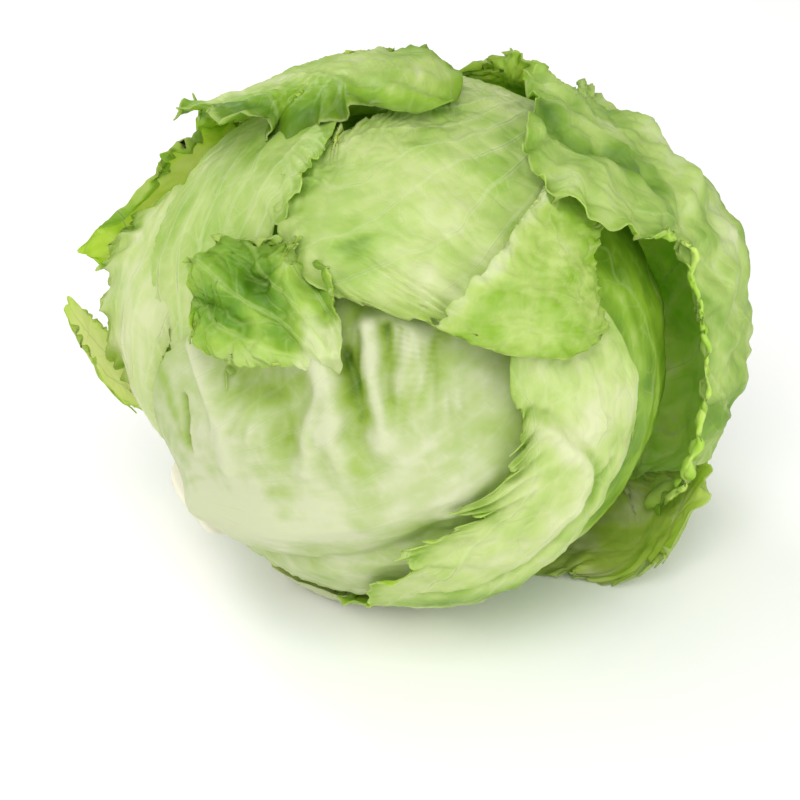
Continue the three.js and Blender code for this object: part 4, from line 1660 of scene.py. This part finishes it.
            row(-120, 36, (9, 13, 27), (28, 36), (0, 30)), row(-124, 46, (11, 12, 13), (20, 20), (0, 10)),
        ),
        cut=(0.2, 0.2), roll=34, tone=(0.0, 0.28, 0.5), pucker=0.6, grain=1.05,
        margin=Margin(sides=(0.6, 0.8, 1), ruffle=1.8, tooth=4.6, pitch=9, wave=20, lobe=5),
        edge=(
            (-108, -20), (-107, 0), (-105, 9), (-92, 14), (-93, 20), (-96, 24), (-98, 27), (-100, 31),
            (-102, 34), (-100, 38),
        ),
    ),
    # The spiky fringe low on the left.
    Leaf(
        "low_left_leaf", "leaf_pale", Finish.SHEER, (
            row(-101, -28, 10, (7, 7)), row(-100, -14, (15, 15, 11), (9, 16)),
            row(-95, -2, (25, 24, 17), (11, 20)), row(-92, 8, (35, 33, 22), (9, 18)),
        ),
        cut=(0.3, 0.3), roll=24, tone=(-0.1, -0.15, -0.1), grain=0.7,
        margin=Margin(ruffle=0.6, tooth=4.0, pitch=9, wave=18, lobe=2),
    ),
    # The loose leaf over the top left.
    Leaf(
        "top_left_leaf", "leaf_green", Finish.GREEN, (
            row(-120, -20, 15, (8, 8)), row(-136, 2, (16.6, 16.4, 16), (26, 18)),
            row(-142, 24, (17.2, 17, 17), (34, 18)), row(-134, 44, (17.4, 19, 26), (40, 25)),
            row(-115, 62, (17, 21, 30), (44, 34)), row(-94, 75, (17, 20.5, 21), (46, 28), (0, -25)),
            row(-57, 72, (16.5, 20.5, 21), (46, 29), (0, -25)),
        ),
        cut=(0.2, 0.1), roll=14, tip_turn=(-5, -45), tip_roll=18, tone=(0.08, 0.34, 0.9), pucker=0.7,
        grain=1.0,
        margin=Margin(
            sides=(0.6, 1, 1), ruffle=3.4, tooth=3.4, pitch=6, wave=14, reach=16, lift=0.4, lobe=3,
        ),
        # the green along its margin
        reliefs=ribs(10, 0, 0.38, ((-86, 56), (-79, 62), (-73, 66), (-73, 71), (-72, 76))),
        edge=(
            (64, 79), (41, 79), (5, 76), (-28, 77), (-50, 74), (-62, 68), (-63, 64), (-76, 57), (-84, 52),
            (-92, 49), (-103, 43), (-112, 45),
        ),
    ),
    # The large loose leaf that drapes the right side.
    Leaf(
        "top_right_leaf", "leaf_outer", Finish.OUTER, (
            row(-112, -60, 13, (8, 8)), row(178, -54, 14, (22, 26)),
            row(138, -40, (26, 28, 18), (38, 40), (20, 0)),
            row(126, -27, (20, 31, 18), (50, 48), (70, 0)),
            row(112, -12, (9, 32, 18.5), (82, 56), (150, 0)),
            row(104, 14, (3, 32, 18.5), (66, 60), (150, 0)),
            row(100, 36, (7, 25, 18.5), (50, 50), (140, 0)), row(96, 54, (18, 20, 19), (60, 30), (20, 0)),
            row(106, 70, (18, 19, 19), (56, 20)),
        ),
        cut=(0.1, 0.1), roll=18, tone=(0.05, 0.46, 0.5), rib=0.8, pucker=1.0, crumple=2.2, grain=1.25,
        fan=(7, 30), corner=9,
        margin=Margin(ruffle=2.4, tooth=3.4, pitch=7, wave=12),
        reliefs=(
            # the crease, painted darker as shade
            *ribs(3.2, -3.0, 0.34, ((80, 67), (72, 61), (70, 56), (76, 52), (80, 47), (82, 40))),
            # paler patches
            *ribs(8, 0, -0.12, ((47, 54), (54, 48), (62, 43))),
            *ribs(11, 0, -0.22, ((94, 38), (98, 28), (91, 18))),
        ),
        edge=((83, 68), (55, 66), (43, 60), (43, 55), (40, 52), (42, 49), (47, 46), (50, 43), (55, 41)),
    ),
    # The leaf under the head, which shows at the lower left and the lower right.
    Leaf(
        "under_leaf", "leaf_rib", Finish.RIB, (
            row(-74, -56, 10, (10, 10)), row(-60, -70, (4.6, 12.2, 12.2), (36, 20)),
            row(4, -86, 12.2, (14, 30)), row(86, -66, 12.2, (15, 20)),
            row(87, -52, (16, 18, 14), (18, 26)), row(82, -43, (27, 26, 16), (17, 28), (10, 0)),
            row(81, -33, (27, 27, 18), (15, 28), (10, 0)), row(82, -20, (25, 25, 20), (12, 20), (10, 0)),
        ),
        cut=(0.2, 0.2), roll=14, tone=(-0.1, 0.36, 0.3), pale_reach=1.0, grain=0.95,
        margin=Margin(sides=(0.8, 1, 1), ruffle=1.5, tooth=3.4, pitch=6, wave=12),
    ),
)


class Lettuce:
    """The whole head: its heart, its stem and its leaves."""

    def __init__(self, leaves: tuple[Leaf, ...] = LEAVES) -> None:
        """Keeps the leaves, innermost first."""
        self.leaves = leaves
        self.head = Head.of_frame()

    def build(self) -> list[bpy.types.Object]:
        """Builds and dresses every piece.

        Returns:
            The finished pieces.
        """
        pucker = Pucker()
        materials = {finish: PAINTS[finish].build("leaf_" + finish.value) for finish in Finish}
        pieces = [Heart().build(self.head), Stem().build(self.head)]
        for index, leaf in enumerate(self.leaves):
            pieces.append(LeafPiece(leaf, 20 * index + 7).build(self.head, pucker, materials))
        return pieces


def main() -> None:
    """Builds the lettuce in its studio."""
    logging.basicConfig(level=logging.INFO)
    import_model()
    Lettuce().build()
    Studio().build()


if __name__ == "__main__":
    main()
